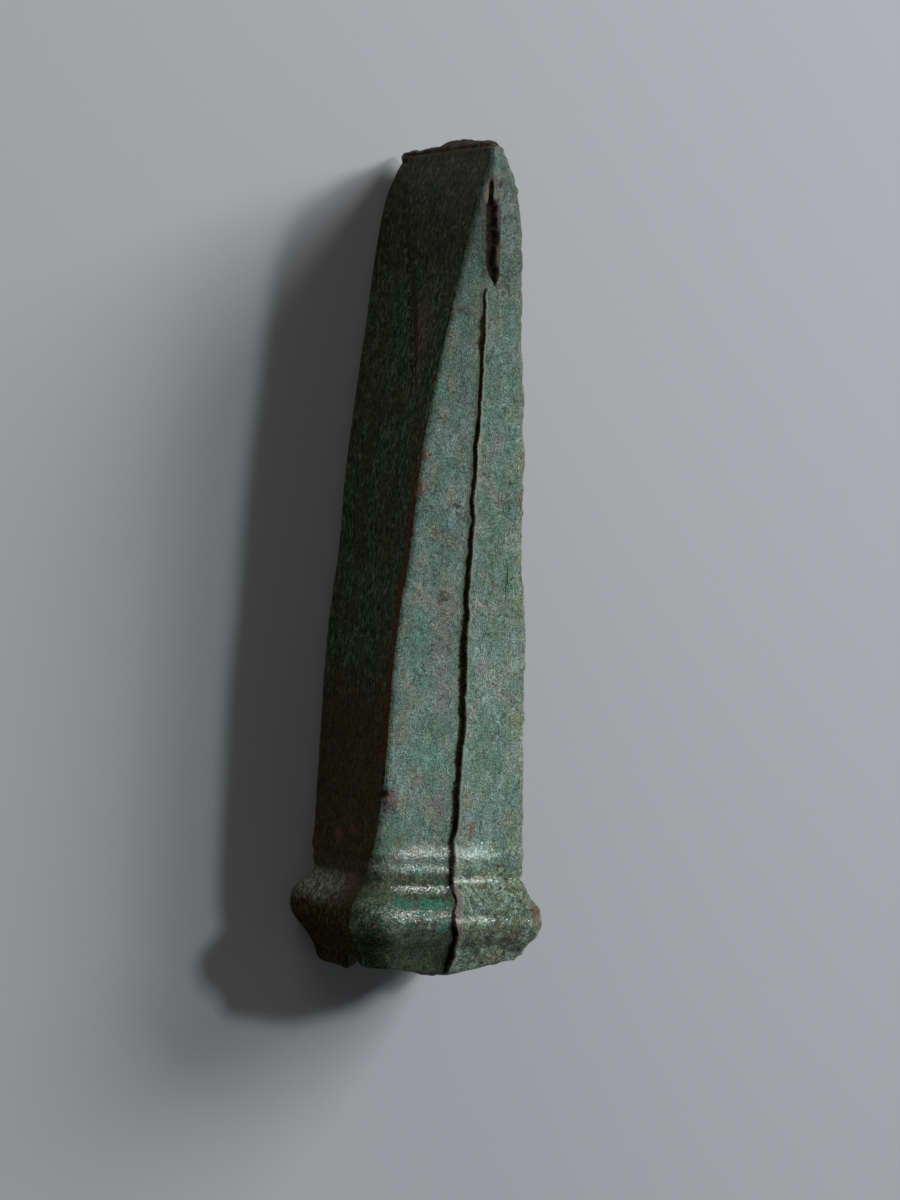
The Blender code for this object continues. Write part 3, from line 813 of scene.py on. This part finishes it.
def face_masks(x, z, dark_face):
    """Masks of the dark wide face: its hollow, the painted sheen on the collar's upper slope, the painted
    warm bounce light low down, and how it changes along its length.
    """
    across, inside = hollow_shares(x, z)
    # Red-brown line with painted shadow along the foot of the hollow's steep side.
    crease = smooth(2.4 * across - 1.4) * window(z, HOLLOW_TIP[1], 112, 12)
    near_edge = smooth((x - profile(z, BREADTH) / 2 + 4) / 2.6)
    return {
        "hollow": dark_face * inside * (1 - 0.8 * rise(z, 94, 108)),
        "crease": dark_face * crease,
        "shoulder_painted_sheen": dark_face * window(z, 8.5, 16, 3.7) * smooth((10 - x) / 14),
        "low_face_painted_bounce": dark_face * (1 - rise(z, 26, 60)),
        "high_face": dark_face * rise(z, 90, 122),
        "arris_rust": 0.8 * dark_face * window(z, 26, 84, 14) * near_edge,
    }


def collar_masks(distance, y, z, facts):
    """Masks of the collar, of its darker patina and painted shade on the -Y half below the crest and in the
    groove, and of the polished bands round the neck, on the seam side.
    """
    narrow, front = facts["narrow"], facts["collar"] * facts["front"]
    # Darker patina and painted shade: below the crest, where the collar faces down, and in the groove above
    # it.
    low = 1 - rise(z, 4, 7.8) + 0.9 * window(z, 10.6, 15.8, 2)
    shade = np.clip(low + 0.15 * smooth((-8 - y) / 4), 0, 1)
    minus_y, plus_y = banded(GLOSS_BANDS, z)
    polish = np.clip(np.where(distance < 0, minus_y, plus_y), 0, 1)
    polish = np.maximum(0.25 * window(z, 16, 50, 12), polish)
    within = rise(y + 0.5 * profile(z, THICKNESS), 2, 6) * (1 - 0.6 * rise(distance, 4, 8.5))
    dotted = window(z, 5.5, 15, 2.5) * rise(-distance, 0.3, 1.2)
    return {
        "collar": front,
        "collar_dark_patina_and_shade": front * smooth(0.5 - distance / 0.3) * shade,
        "dotted": facts["collar"] * narrow * dotted,
        "gloss": narrow * polish * within,
    }


def painted_light(distance, z, narrow):
    """Painted light and shade on the seam side: lighter above the collar, darker up the blade and on its -Y
    half, away from the light.
    """
    along = 0.4 * rise(z, 9, 22) - 0.18 * rise(z, 20, 90) - 0.45 * rise(z, 84, 118)
    shaded_half = 0.26 * smooth(0.5 - distance / 0.5) * (1 + rise(z, 104, 116))
    return 1.03 + narrow * (along - shaded_half)


def paint_masks(grid, facts):
    """Shares from 0 to 1 that drive the material, one value for each point."""
    x, z = grid[..., 0], grid[..., 2]
    y = grid[..., 1] - section_centre(z)
    distance = y - seam_place(z)
    narrow, collar, dark_face = facts["narrow"], facts["collar"], facts["dark_face"]
    masks = {part: facts[part] for part in ("narrow", "back", "far_edge", "far_arris_painted_sheen", "edge", "inside")}
    masks.update({kind: stain(grid, kind) for kind in SPOTS})
    for kind in ("turquoise", "ochre", "lilac"):
        masks[kind] = masks[kind] * narrow
    masks["bloom"] = masks["turquoise"] * collar
    masks["wart"] = masks["wart"] * facts["front"]
    masks["pitted"] = np.maximum(masks["pitted"], 0.25 * collar * narrow)
    masks.update(seam_masks(distance, z, narrow))
    masks.update(recess_masks(grid[..., 1], z, narrow))
    masks.update(face_masks(x, z, dark_face))
    masks.update(collar_masks(distance, y, z, facts))
    masks["edge_line"] = (dark_face + facts["wide"]) * bell(z, EDGE_LINE[0], EDGE_LINE[2])
    masks["painted_light"] = painted_light(distance, z, narrow)
    dulled = 0.42 * dark_face * (1 - window(z, 7, 20, 6))
    masks["shine"] = (0.5 - 0.25 * collar - dulled) * (1 - 0.9 * masks["crevice_dirt_and_shadow"])
    return masks


# ------------ building the piece


def casting_frame():
    """Turns and moves the casting's own frame, in metres, into the row frame."""
    floor = next(m for m in frame["record"]["mounts"] if m["name"] == "haft_socket_floor")
    axis = -Vector(floor["axis"]).normalized()
    origin = Vector(floor["pos_m"]) - axis * SOCKET_DEPTH * MM
    across = Vector((0, -1, 0))
    up = across.cross(axis)
    turn = Matrix((up, across, axis)).transposed().to_4x4()
    return Matrix.Translation(origin) @ turn


def grid_faces(rows, columns):
    """Quads of a grid that is closed round its columns."""
    index = np.arange(rows * columns).reshape(rows, columns)
    after = np.roll(index, -1, axis=1)
    quads = np.stack([index[:-1], after[:-1], after[1:], index[1:]], axis=-1)
    return quads.reshape(-1, 4)


def weld_rows(mesh, columns):
    """Join the points that meet at the socket floor's middle and along the cutting edge."""
    work = bmesh.new()
    work.from_mesh(mesh)
    work.verts.ensure_lookup_table()
    for row in (work.verts[:columns], work.verts[-columns:]):
        bmesh.ops.remove_doubles(work, verts=row, dist=1e-7)
    work.to_mesh(mesh)
    work.free()


def kept_inside(points):
    """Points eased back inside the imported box."""
    low, high = np.array(CAD_BOX)
    middle, half, give = (low + high) / 2, (high - low) / 2, EDGE_GIVE * MM
    off = points - middle
    reach = np.abs(off) - (half - give)
    eased = half - give * np.exp(-np.maximum(reach, 0) / give)
    return np.where(reach > 0, middle + np.sign(off) * eased, points)


def casting_mesh(matrix):
    """The fine mesh of the whole casting, with its paint masks as attributes."""
    outside, facing = outside_grid()
    socket = socket_grid(outside[0])
    edge = edge_grid(outside[-1])
    grid = np.concatenate([socket, outside, edge])
    directions = np.concatenate([np.zeros_like(socket), facing, np.zeros_like(edge)])
    kinds = np.array(["inside"] * len(socket) + ["outside"] * len(outside) + ["edge"] * len(edge))
    facts = facts_about(grid, directions, kinds)
    points = crusted(grid, facts)
    rows, columns = points.shape[:2]
    turn = np.array(matrix.to_3x3())
    points = kept_inside(points.reshape(-1, 3) * MM @ turn.T + np.array(matrix.translation))
    mesh = bpy.data.meshes.new("patinated_casting")
    mesh.from_pydata(points.tolist(), [], grid_faces(rows, columns).tolist())
    for name, values in paint_masks(grid, facts).items():
        layer = mesh.attributes.new(name, "FLOAT", "POINT")
        layer.data.foreach_set("value", values.astype(np.float32).ravel())
    weld_rows(mesh, columns)
    mesh.shade_smooth()
    return mesh


# ------------ materials


# Noises of the patina: size of the lumps in mm, detail, roughness, stretch along the length and shift, and
# for some the two levels between which the noise eases from 0 to 1.
NOISES = {
    "clouds": (6, 3, 0.55, 1.8, 1),
    "mottle": (0.9, 6, 0.72, 1.2, 2, 0.36, 0.64),
    "grain": (0.2, 4, 0.8, 1.3, 5, 0.38, 0.62),
    "torn": (0.5, 4, 0.75, 1, 31, 0.36, 0.64),
    "green_clouds": (2.4, 3, 0.5, 1.6, 3, 0.44, 0.62),
    "buff_clouds": (2.8, 3, 0.52, 1.5, 9, 0.46, 0.66),
    "patchy": (1.5, 4, 0.6, 1.4, 25, 0.36, 0.64),
    "streaks": (0.6, 5, 0.7, 2.6, 6, 0.38, 0.62),
    "fine_streaks": (0.3, 4, 0.75, 2.2, 29, 0.36, 0.64),
    "brown_clouds": (4, 3, 0.6, 1.6, 7, 0.46, 0.62),
    "scratches": (0.22, 2, 0.5, 14, 19, 0.42, 0.58),
    "blotches": (1.6, 5, 0.7, 1, 11, 0.42, 0.6),
    "ochre_clouds": (2.6, 5, 0.66, 1, 12, 0.48, 0.6),
    "broken": (0.4, 4, 0.78, 1, 27, 0.4, 0.62),
    "bloom_border": (0.8, 5, 0.72, 1, 37, 0.4, 0.6),
    "pits": (0.65, 4, 0.75, 1, 17),
    "flecks_and_glints": (0.19, 3, 0.75, 1, 15, 0.57, 0.66),
    "crack_bends": (1.2, 3, 0.7, 1, 23),
    "sparkle": (0.3, 3, 0.7, 1, 39, 0.42, 0.55),
    "film": (0.36, 2.5, 0.55, 1, 35),
}
PIT_TINT = (0.3, 0.28, 0.26)  # linear factors
# Tint of the collar's darker patina and painted shade, in linear factors.
DARK_PATINA_AND_SHADE_TINT = (0.32, 0.35, 0.2)
DOT_SIZE = 1.15
DOT_SHIFT = 33
BUMP_DEPTH = 0.2
FILM_DEPTH = 0.32
COAT_ROUGHNESS = 0.06
COAT_IOR = 2.3
FLOOR_COLOUR = (0.38, 0.39, 0.41, 1)


def colour(red, green, blue):
    """A linear colour from 0 to 255 display values."""
    channels = [value / 255 for value in (red, green, blue)]
    linear = [c / 12.92 if c <= 0.04045 else ((c + 0.055) / 1.055) ** 2.4 for c in channels]
    return (*linear, 1)


class Material:
    """Short names for the nodes of one material."""

    def __init__(self, name):
        self.material = bpy.data.materials.new(name)
        self.material.use_nodes = True
        self.tree = self.material.node_tree
        self.place = self.node("ShaderNodeTexCoord", "Object")
        self.noises = {}

    def feed(self, socket, value):
        """Link a socket to another node's output, or set its plain value."""
        if isinstance(value, bpy.types.NodeSocket):
            self.tree.links.new(value, socket)
        else:
            socket.default_value = value

    def node(self, kind, output, inputs=None, **settings):
        """An output, or a slice of the outputs, of a new node with its settings and its inputs fed."""
        made = self.tree.nodes.new(kind)
        for key, value in settings.items():
            setattr(made, key, value)
        for key, value in (inputs or {}).items():
            self.feed(made.inputs[key], value)
        return made.outputs[output]

    def finished(self, **inputs):
        """The material, once its shader's inputs are fed."""
        for key, value in inputs.items():
            self.feed(self.tree.nodes["Principled BSDF"].inputs[key.replace("_", " ")], value)
        return self.material

    def mask(self, name):
        """A paint mask of the mesh."""
        return self.node("ShaderNodeAttribute", "Fac", attribute_name=name)

    def scaled(self, stretch=1):
        """Places in millimetres, with lumps made longer along the length by a stretch."""
        scale = (1 / (MM * stretch), 1 / MM, 1 / MM)
        return self.node("ShaderNodeMapping", "Vector", {"Vector": self.place, "Scale": scale})

    def noise(self, name):
        """One of the patina's noises, made once."""
        if name not in self.noises:
            size, detail, roughness, stretch, shift, *levels = NOISES[name]
            inputs = {"Vector": self.scaled(stretch), "Scale": 1 / size, "W": shift}
            inputs |= {"Detail": detail, "Roughness": roughness}
            made = self.node("ShaderNodeTexNoise", "Fac", inputs, noise_dimensions="4D")
            self.noises[name] = self.ramp(made, *levels) if levels else made
        return self.noises[name]

    def ramp(self, value, start, end):
        """Ease from 0 at the start to 1 at the end."""
        inputs = {"Value": value, "From Min": start, "From Max": end}
        return self.node("ShaderNodeMapRange", "Result", inputs, interpolation_type="SMOOTHSTEP")

    def math(self, operation, *values):
        """One arithmetic step."""
        return self.node("ShaderNodeMath", "Value", dict(enumerate(values)), operation=operation)

    def times(self, first, second):
        """A product."""
        return self.math("MULTIPLY", first, second)

    def line(self, value, slope, start):
        """A value times a slope, plus a start."""
        return self.math("MULTIPLY_ADD", value, slope, start)

    def bump(self, relief, depth):
        """Normals roughened by a relief, with its depth in millimetres."""
        inputs = {"Strength": 1, "Distance": depth * MM, "Height": relief}
        return self.node("ShaderNodeBump", "Normal", inputs)

    def mix(self, factor, first, second, kind="MIX"):
        """Two colours put together, each a node's output or three display values."""
        pair = [colour(*shade) if isinstance(shade, tuple) else shade for shade in (first, second)]
        inputs = {"Factor": factor, 6: pair[0], 7: pair[1]}
        return self.node("ShaderNodeMix", 2, inputs, data_type="RGBA", blend_type=kind)

    def multiplied(self, tone, value):
        """A colour times a value, or times a linear tint given as a list."""
        return self.mix(1, tone, value, "MULTIPLY")

    def tinted(self, amount, tone, tint):
        """A colour multiplied by a linear tint, by an amount from 0 to 1."""
        return self.mix(amount, tone, self.multiplied(tone, [*tint, 1]))

    def two_tone(self, dark, light, *noises):
        """A mix of two colours by one noise, or by the product of two."""
        return self.mix(functools.reduce(self.times, map(self.noise, noises)), dark, light)

    def clouded(self, tone, name, strength, shade):
        """A colour with another one laid over it by a noise."""
        return self.mix(self.times(self.noise(name), strength), tone, shade)

    def ragged(self, name, noise, strength, depth):
        """A paint mask whose soft border is broken up by a noise, times a strength."""
        raised = self.line(self.mask(name), 1 + depth, -depth)
        border = self.ramp(self.line(self.noise(noise), depth, raised), 0.3, 0.7)
        return self.times(border, strength)

    def stained(self, tone, *stains):
        """A colour under stains: each has a mask, its border's noise, strength and depth, and a colour."""
        for *border, shade in stains:
            tone = self.mix(self.ragged(*border), tone, shade)
        return tone


def narrow_side_colour(mat):
    """Pale blue-green patina of the narrow sides, with stains."""
    tone = mat.mix(mat.ramp(mat.noise("clouds"), 0.38, 0.62), (90, 117, 106), (113, 136, 131))
    tone = mat.clouded(tone, "green_clouds", 0.7, (78, 112, 96))
    tone = mat.clouded(tone, "buff_clouds", 0.75, (122, 130, 117))
    return mat.stained(
        tone,
        ("lilac", "patchy", 0.5, 1.9, (124, 114, 116)),
        ("turquoise", "patchy", 0.45, 1.8, (70, 132, 116)),
        ("ochre", "patchy", 0.42, 1.6, (112, 120, 74)),
    )


def wide_face_colour(mat):
    """Dark green and brown patina of the wide faces, streaked along the length, and painted darker than the
    narrow sides, partly as shade.
    """
    grains = mat.two_tone((26, 32, 16), (80, 80, 64), "streaks", "mottle")
    tone = mat.two_tone((12, 28, 16), (82, 92, 68), "streaks")
    tone = mat.clouded(tone, "brown_clouds", 0.7, (60, 56, 30))
    tone = mat.stained(
        tone,
        # Painted warm bounce light low on the dark face.
        ("low_face_painted_bounce", "mottle", 0.75, 0.7, (60, 50, 22)),
        ("high_face", "clouds", 0.8, 0.9, grains),
    )
    # Painted sheen of light from above on the collar's upper slope of the dark face, streaked.
    worn = mat.times(mat.mask("shoulder_painted_sheen"), mat.line(mat.noise("streaks"), 0.7, 0.15))
    tone = mat.mix(worn, tone, (158, 164, 150))
    tone = mat.multiplied(tone, mat.line(mat.noise("fine_streaks"), 1.9, 0.2))
    return mat.stained(tone, ("arris_rust", "mottle", 0.75, 1.6, (88, 44, 24)))


def collar_colour(mat, tone):
    """Greener, blotchy crust with turquoise dots and blooms on the collar, over another colour."""
    crust = mat.two_tone((86, 110, 84), (136, 160, 140), "blotches")
    crust = mat.clouded(crust, "ochre_clouds", 0.5, (128, 122, 84))
    tone = mat.stained(tone, ("collar", "mottle", 0.85, 0.7, crust))
    tone = mat.multiplied(tone, mat.line(mat.noise("broken"), 1.1, 0.45))
    inputs = {"Vector": mat.scaled(), "Scale": 1 / DOT_SIZE, "W": DOT_SHIFT}
    dots = mat.node("ShaderNodeTexVoronoi", "Distance", inputs, voronoi_dimensions="4D")
    dots = mat.times(mat.ramp(dots, 0.34, 0.2), mat.mask("dotted"))
    tone = mat.mix(mat.times(dots, 0.8), tone, (46, 150, 118))
    return mat.stained(tone, ("bloom", "bloom_border", 0.7, 1.6, (38, 138, 112)))


def speckled(mat, tone):
    """A colour darkened in the pits, with painted glints on the grains of its crust and pale flecks that
    are partly painted highlights.
    """
    sunk = mat.line(mat.mask("pitted"), -0.1, mat.noise("pits"))
    tone = mat.tinted(mat.times(mat.ramp(sunk, 0.46, 0.38), 0.85), tone, PIT_TINT)
    shade = mat.line(mat.noise("mottle"), 0.45, 0.78)
    # Painted glints: the fine grain lightens and darkens the colour.
    glint = mat.line(mat.noise("grain"), 1.45, 0.36)
    tone = mat.multiplied(tone, mat.times(shade, glint))
    flecks_and_glints = mat.times(mat.noise("flecks_and_glints"), mat.line(mat.mask("narrow"), 0.5, 0.08))
    return mat.mix(flecks_and_glints, tone, (176, 188, 182))


def bronze_colour(mat):
    """The patina's colour, from its broad tones to the dirt, crust and painted light and shade that lie
    over them.
    """
    pale = narrow_side_colour(mat)
    tone = mat.stained(
        wide_face_colour(mat),
        ("narrow", "mottle", 1, 0.5, pale),
        ("back", "mottle", 1, 0.7, pale),
    )
    tone = mat.mix(mat.mask("collar"), tone, collar_colour(mat, tone))
    # Darker patina and painted shade on the collar.
    shade = mat.times(mat.mask("collar_dark_patina_and_shade"), mat.line(mat.noise("mottle"), 0.25, 0.8))
    tone = mat.stained(
        mat.tinted(shade, tone, DARK_PATINA_AND_SHADE_TINT),
        ("far_edge", "clouds", 0.35, 1.6, (104, 110, 82)),
        # Painted sheen of reflected light along the rounded far long edge.
        ("far_arris_painted_sheen", "mottle", 0.8, 0.7, (92, 92, 80)),
        ("hollow", "mottle", 0.9, 0.4, mat.two_tone((46, 42, 30), (112, 106, 88), "scratches")),
        # Red-brown stain and painted shadow along the hollow's crease.
        ("crease", "mottle", 0.7, 1.3, (48, 30, 18)),
        ("rust", "mottle", 0.65, 1.8, (112, 78, 60)),
    )
    # The speckled patina is multiplied by painted light and shade.
    tone = mat.stained(
        mat.multiplied(speckled(mat, tone), mat.mask("painted_light")),
        ("edge_line", "mottle", 0.5, 1, (96, 92, 64)),
        ("edge", "mottle", 1, 0.4, mat.two_tone((8, 6, 3), (104, 78, 44), "grain", "mottle")),
    )
    return mat.stained(
        mat.mix(mat.mask("inside"), tone, (52, 48, 36)),
        # Dirt and painted shade beside the seam, pale flakes and a painted highlight on the flash's crest,
        # and dirt and painted shadow in its groove.
        ("seam_dirt_and_shade", "mottle", 0.5, 0.7, (62, 58, 42)),
        ("fin_crest_flakes_and_highlight", "grain", 0.75, 1, (156, 168, 158)),
        ("collar_fin", "mottle", 0.85, 0.6, mat.two_tone((82, 66, 60), (176, 160, 162), "grain")),
        ("crevice_dirt_and_shadow", "torn", 1, 1.1, mat.two_tone((9, 7, 2), (66, 54, 24), "grain", "torn")),
        ("recess_edge", "torn", 0.8, 1.4, (74, 52, 54)),
        # Brown walls of the recess, near black where shade is painted in its depth.
        ("recess", "torn", 1, 1.2, mat.two_tone((20, 14, 6), (88, 70, 40), "mottle", "torn")),
        ("wart", "torn", 0.7, 1.2, mat.two_tone((78, 52, 48), (150, 126, 132), "grain")),
        # Dark spots painted at chips, notches and the slot.
        ("dark_spots", "torn", 0.85, 1.4, (48, 36, 32)),
        ("slot", "mottle", 0.9, 0.5, (98, 54, 26)),
        ("slot_lip", "mottle", 0.6, 1.4, (142, 128, 112)),
    )


def hairline(mat, middle, start, end, width):
    """1 along a fine crack down the length, at Y and between two heights of the casting."""
    x, y = mat.node("ShaderNodeSeparateXYZ", slice(2), {"Vector": mat.place})
    bend = mat.line(mat.noise("crack_bends"), 1.2 * MM, (middle - 0.6) * MM)
    off = mat.math("ABSOLUTE", mat.math("ADD", y, bend))
    line = mat.ramp(off, width * MM, 0.3 * width * MM)
    along = mat.math("SUBTRACT", x, -0.5 * LENGTH * MM)
    opening = mat.ramp(along, start * MM, (start + 2) * MM)
    closing = mat.ramp(along, end * MM, (end - 2) * MM)
    return mat.times(line, mat.times(opening, closing))


def bronze_material():
    """Patina over bronze: its colour, its dull and polished places, and fine bumps."""
    mat = Material("patinated_bronze_detail")
    grain, gloss = mat.noise("grain"), mat.mask("gloss")
    crack = mat.times(hairline(mat, *CRACK), mat.mask("narrow"))
    surface = mat.line(grain, 0.6, mat.times(mat.noise("mottle"), 0.8))
    surface = mat.times(surface, mat.line(gloss, -0.7, 1))
    return mat.finished(
        Base_Color=mat.mix(mat.times(crack, 0.9), bronze_colour(mat), (36, 36, 30)),
        Roughness=mat.math("SUBTRACT", mat.line(grain, 0.25, 0.4), mat.times(gloss, 0.3)),
        Specular_IOR_Level=mat.mask("shine"),
        Normal=mat.bump(mat.math("SUBTRACT", surface, crack), BUMP_DEPTH),
        Coat_Weight=mat.times(mat.ragged("gloss", "torn", 1, 1.1), mat.noise("sparkle")),
        Coat_Roughness=COAT_ROUGHNESS,
        Coat_IOR=COAT_IOR,
        Coat_Normal=mat.bump(mat.noise("film"), FILM_DEPTH),
    )


# ------------ stage, lights and camera

FLOOR_SIDE = 6
WORLD_STRENGTH = 0.1
LIGHT_DISTANCE = 1.2
LIGHTS = (  # name, direction in the casting's frame, size, power and tint
    ("key_light", (0.52, 0.66, 0.54), 0.65, 15, (1, 1, 1)),
    ("band_light", (0.855, 0.427, 0.294), 0.11, 4.4, (0.92, 0.97, 1)),
    ("fill_light", (0.15, -0.38, 0.9), 0.6, 3.6, (1, 0.96, 0.86)),
)
CAMERA_AZIMUTH = 25  # degrees from the seam side's normal towards -Y
CAMERA_DISTANCE = 650
CAMERA_HEIGHT = 67.7
CAMERA_TARGET = (1.33, 2.85, 56.36)
CAMERA_ROLL = 2.917
CAMERA_LENS = 127.93
SENSOR_WIDTH = 36


def add_object(name, data):
    """A new object in the scene."""
    made = bpy.data.objects.new(name, data)
    bpy.context.scene.collection.objects.link(made)
    return made


def add_piece(matrix):
    """The detailed casting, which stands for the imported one."""
    piece = add_object("patinated_casting", casting_mesh(matrix))
    piece.data.materials.append(bronze_material())
    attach(piece, "root")
    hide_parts(CASTING_NODE)


def add_floor():
    """A large, plain, pale, matt floor under the object."""
    half = FLOOR_SIDE / 2
    mesh = bpy.data.meshes.new("floor")
    corners = [(-half, -half, 0), (half, -half, 0), (half, half, 0), (-half, half, 0)]
    mesh.from_pydata(corners, [], [(0, 1, 2, 3)])
    mesh.materials.append(Material("pale_floor").finished(Base_Color=FLOOR_COLOUR, Roughness=0.85))
    floor = add_object("floor", mesh)


def add_soft_light(matrix, name, direction, size, power, tint):
    """A square soft light, placed by a direction in the casting's frame, facing its middle."""
    middle = matrix @ Vector((0, 0, 0.5 * LENGTH * MM))
    towards = (matrix.to_3x3() @ Vector(direction)).normalized()
    data = bpy.data.lights.new(name, "AREA")
    data.shape = "SQUARE"
    data.size = size
    data.energy = power
    data.color = tint
    light = add_object(name, data)
    light.location = middle + towards * LIGHT_DISTANCE
    light.rotation_mode = "QUATERNION"
    light.rotation_quaternion = towards.to_track_quat("Z", "Y")


def add_world():
    """Faint even light from all round."""
    world = bpy.data.worlds.new("studio")
    world.use_nodes = True
    back = world.node_tree.nodes["Background"]
    back.inputs["Color"].default_value = (0.97, 0.97, 0.97, 1)
    back.inputs["Strength"].default_value = WORLD_STRENGTH
    bpy.context.scene.world = world


def add_camera(matrix):
    """The camera, set out in the casting's frame."""
    angle = math.radians(CAMERA_AZIMUTH)
    place = Vector((math.cos(angle) * CAMERA_DISTANCE, -math.sin(angle) * CAMERA_DISTANCE, CAMERA_HEIGHT))
    back = (place - Vector(CAMERA_TARGET)).normalized()
    right = Vector((0, 0, 1)).cross(back).normalized()
    up = back.cross(right)
    turn = Matrix((right, up, back)).transposed() @ Matrix.Rotation(math.radians(CAMERA_ROLL), 3, "Z")
    data = bpy.data.cameras.new("camera")
    data.lens = CAMERA_LENS
    data.sensor_width = SENSOR_WIDTH
    data.clip_start = 0.01
    camera = add_object("camera", data)
    camera.matrix_world = Matrix.Translation(matrix @ (place * MM)) @ (matrix.to_3x3() @ turn).to_4x4()
    bpy.context.scene.camera = camera


def build():
    """Make the piece, the floor, the lights and the camera."""
    matrix = casting_frame()
    add_piece(matrix)
    add_floor()
    for light in LIGHTS:
        add_soft_light(matrix, *light)
    add_world()
    add_camera(matrix)
    bpy.context.scene.view_settings.view_transform = "Standard"


build()
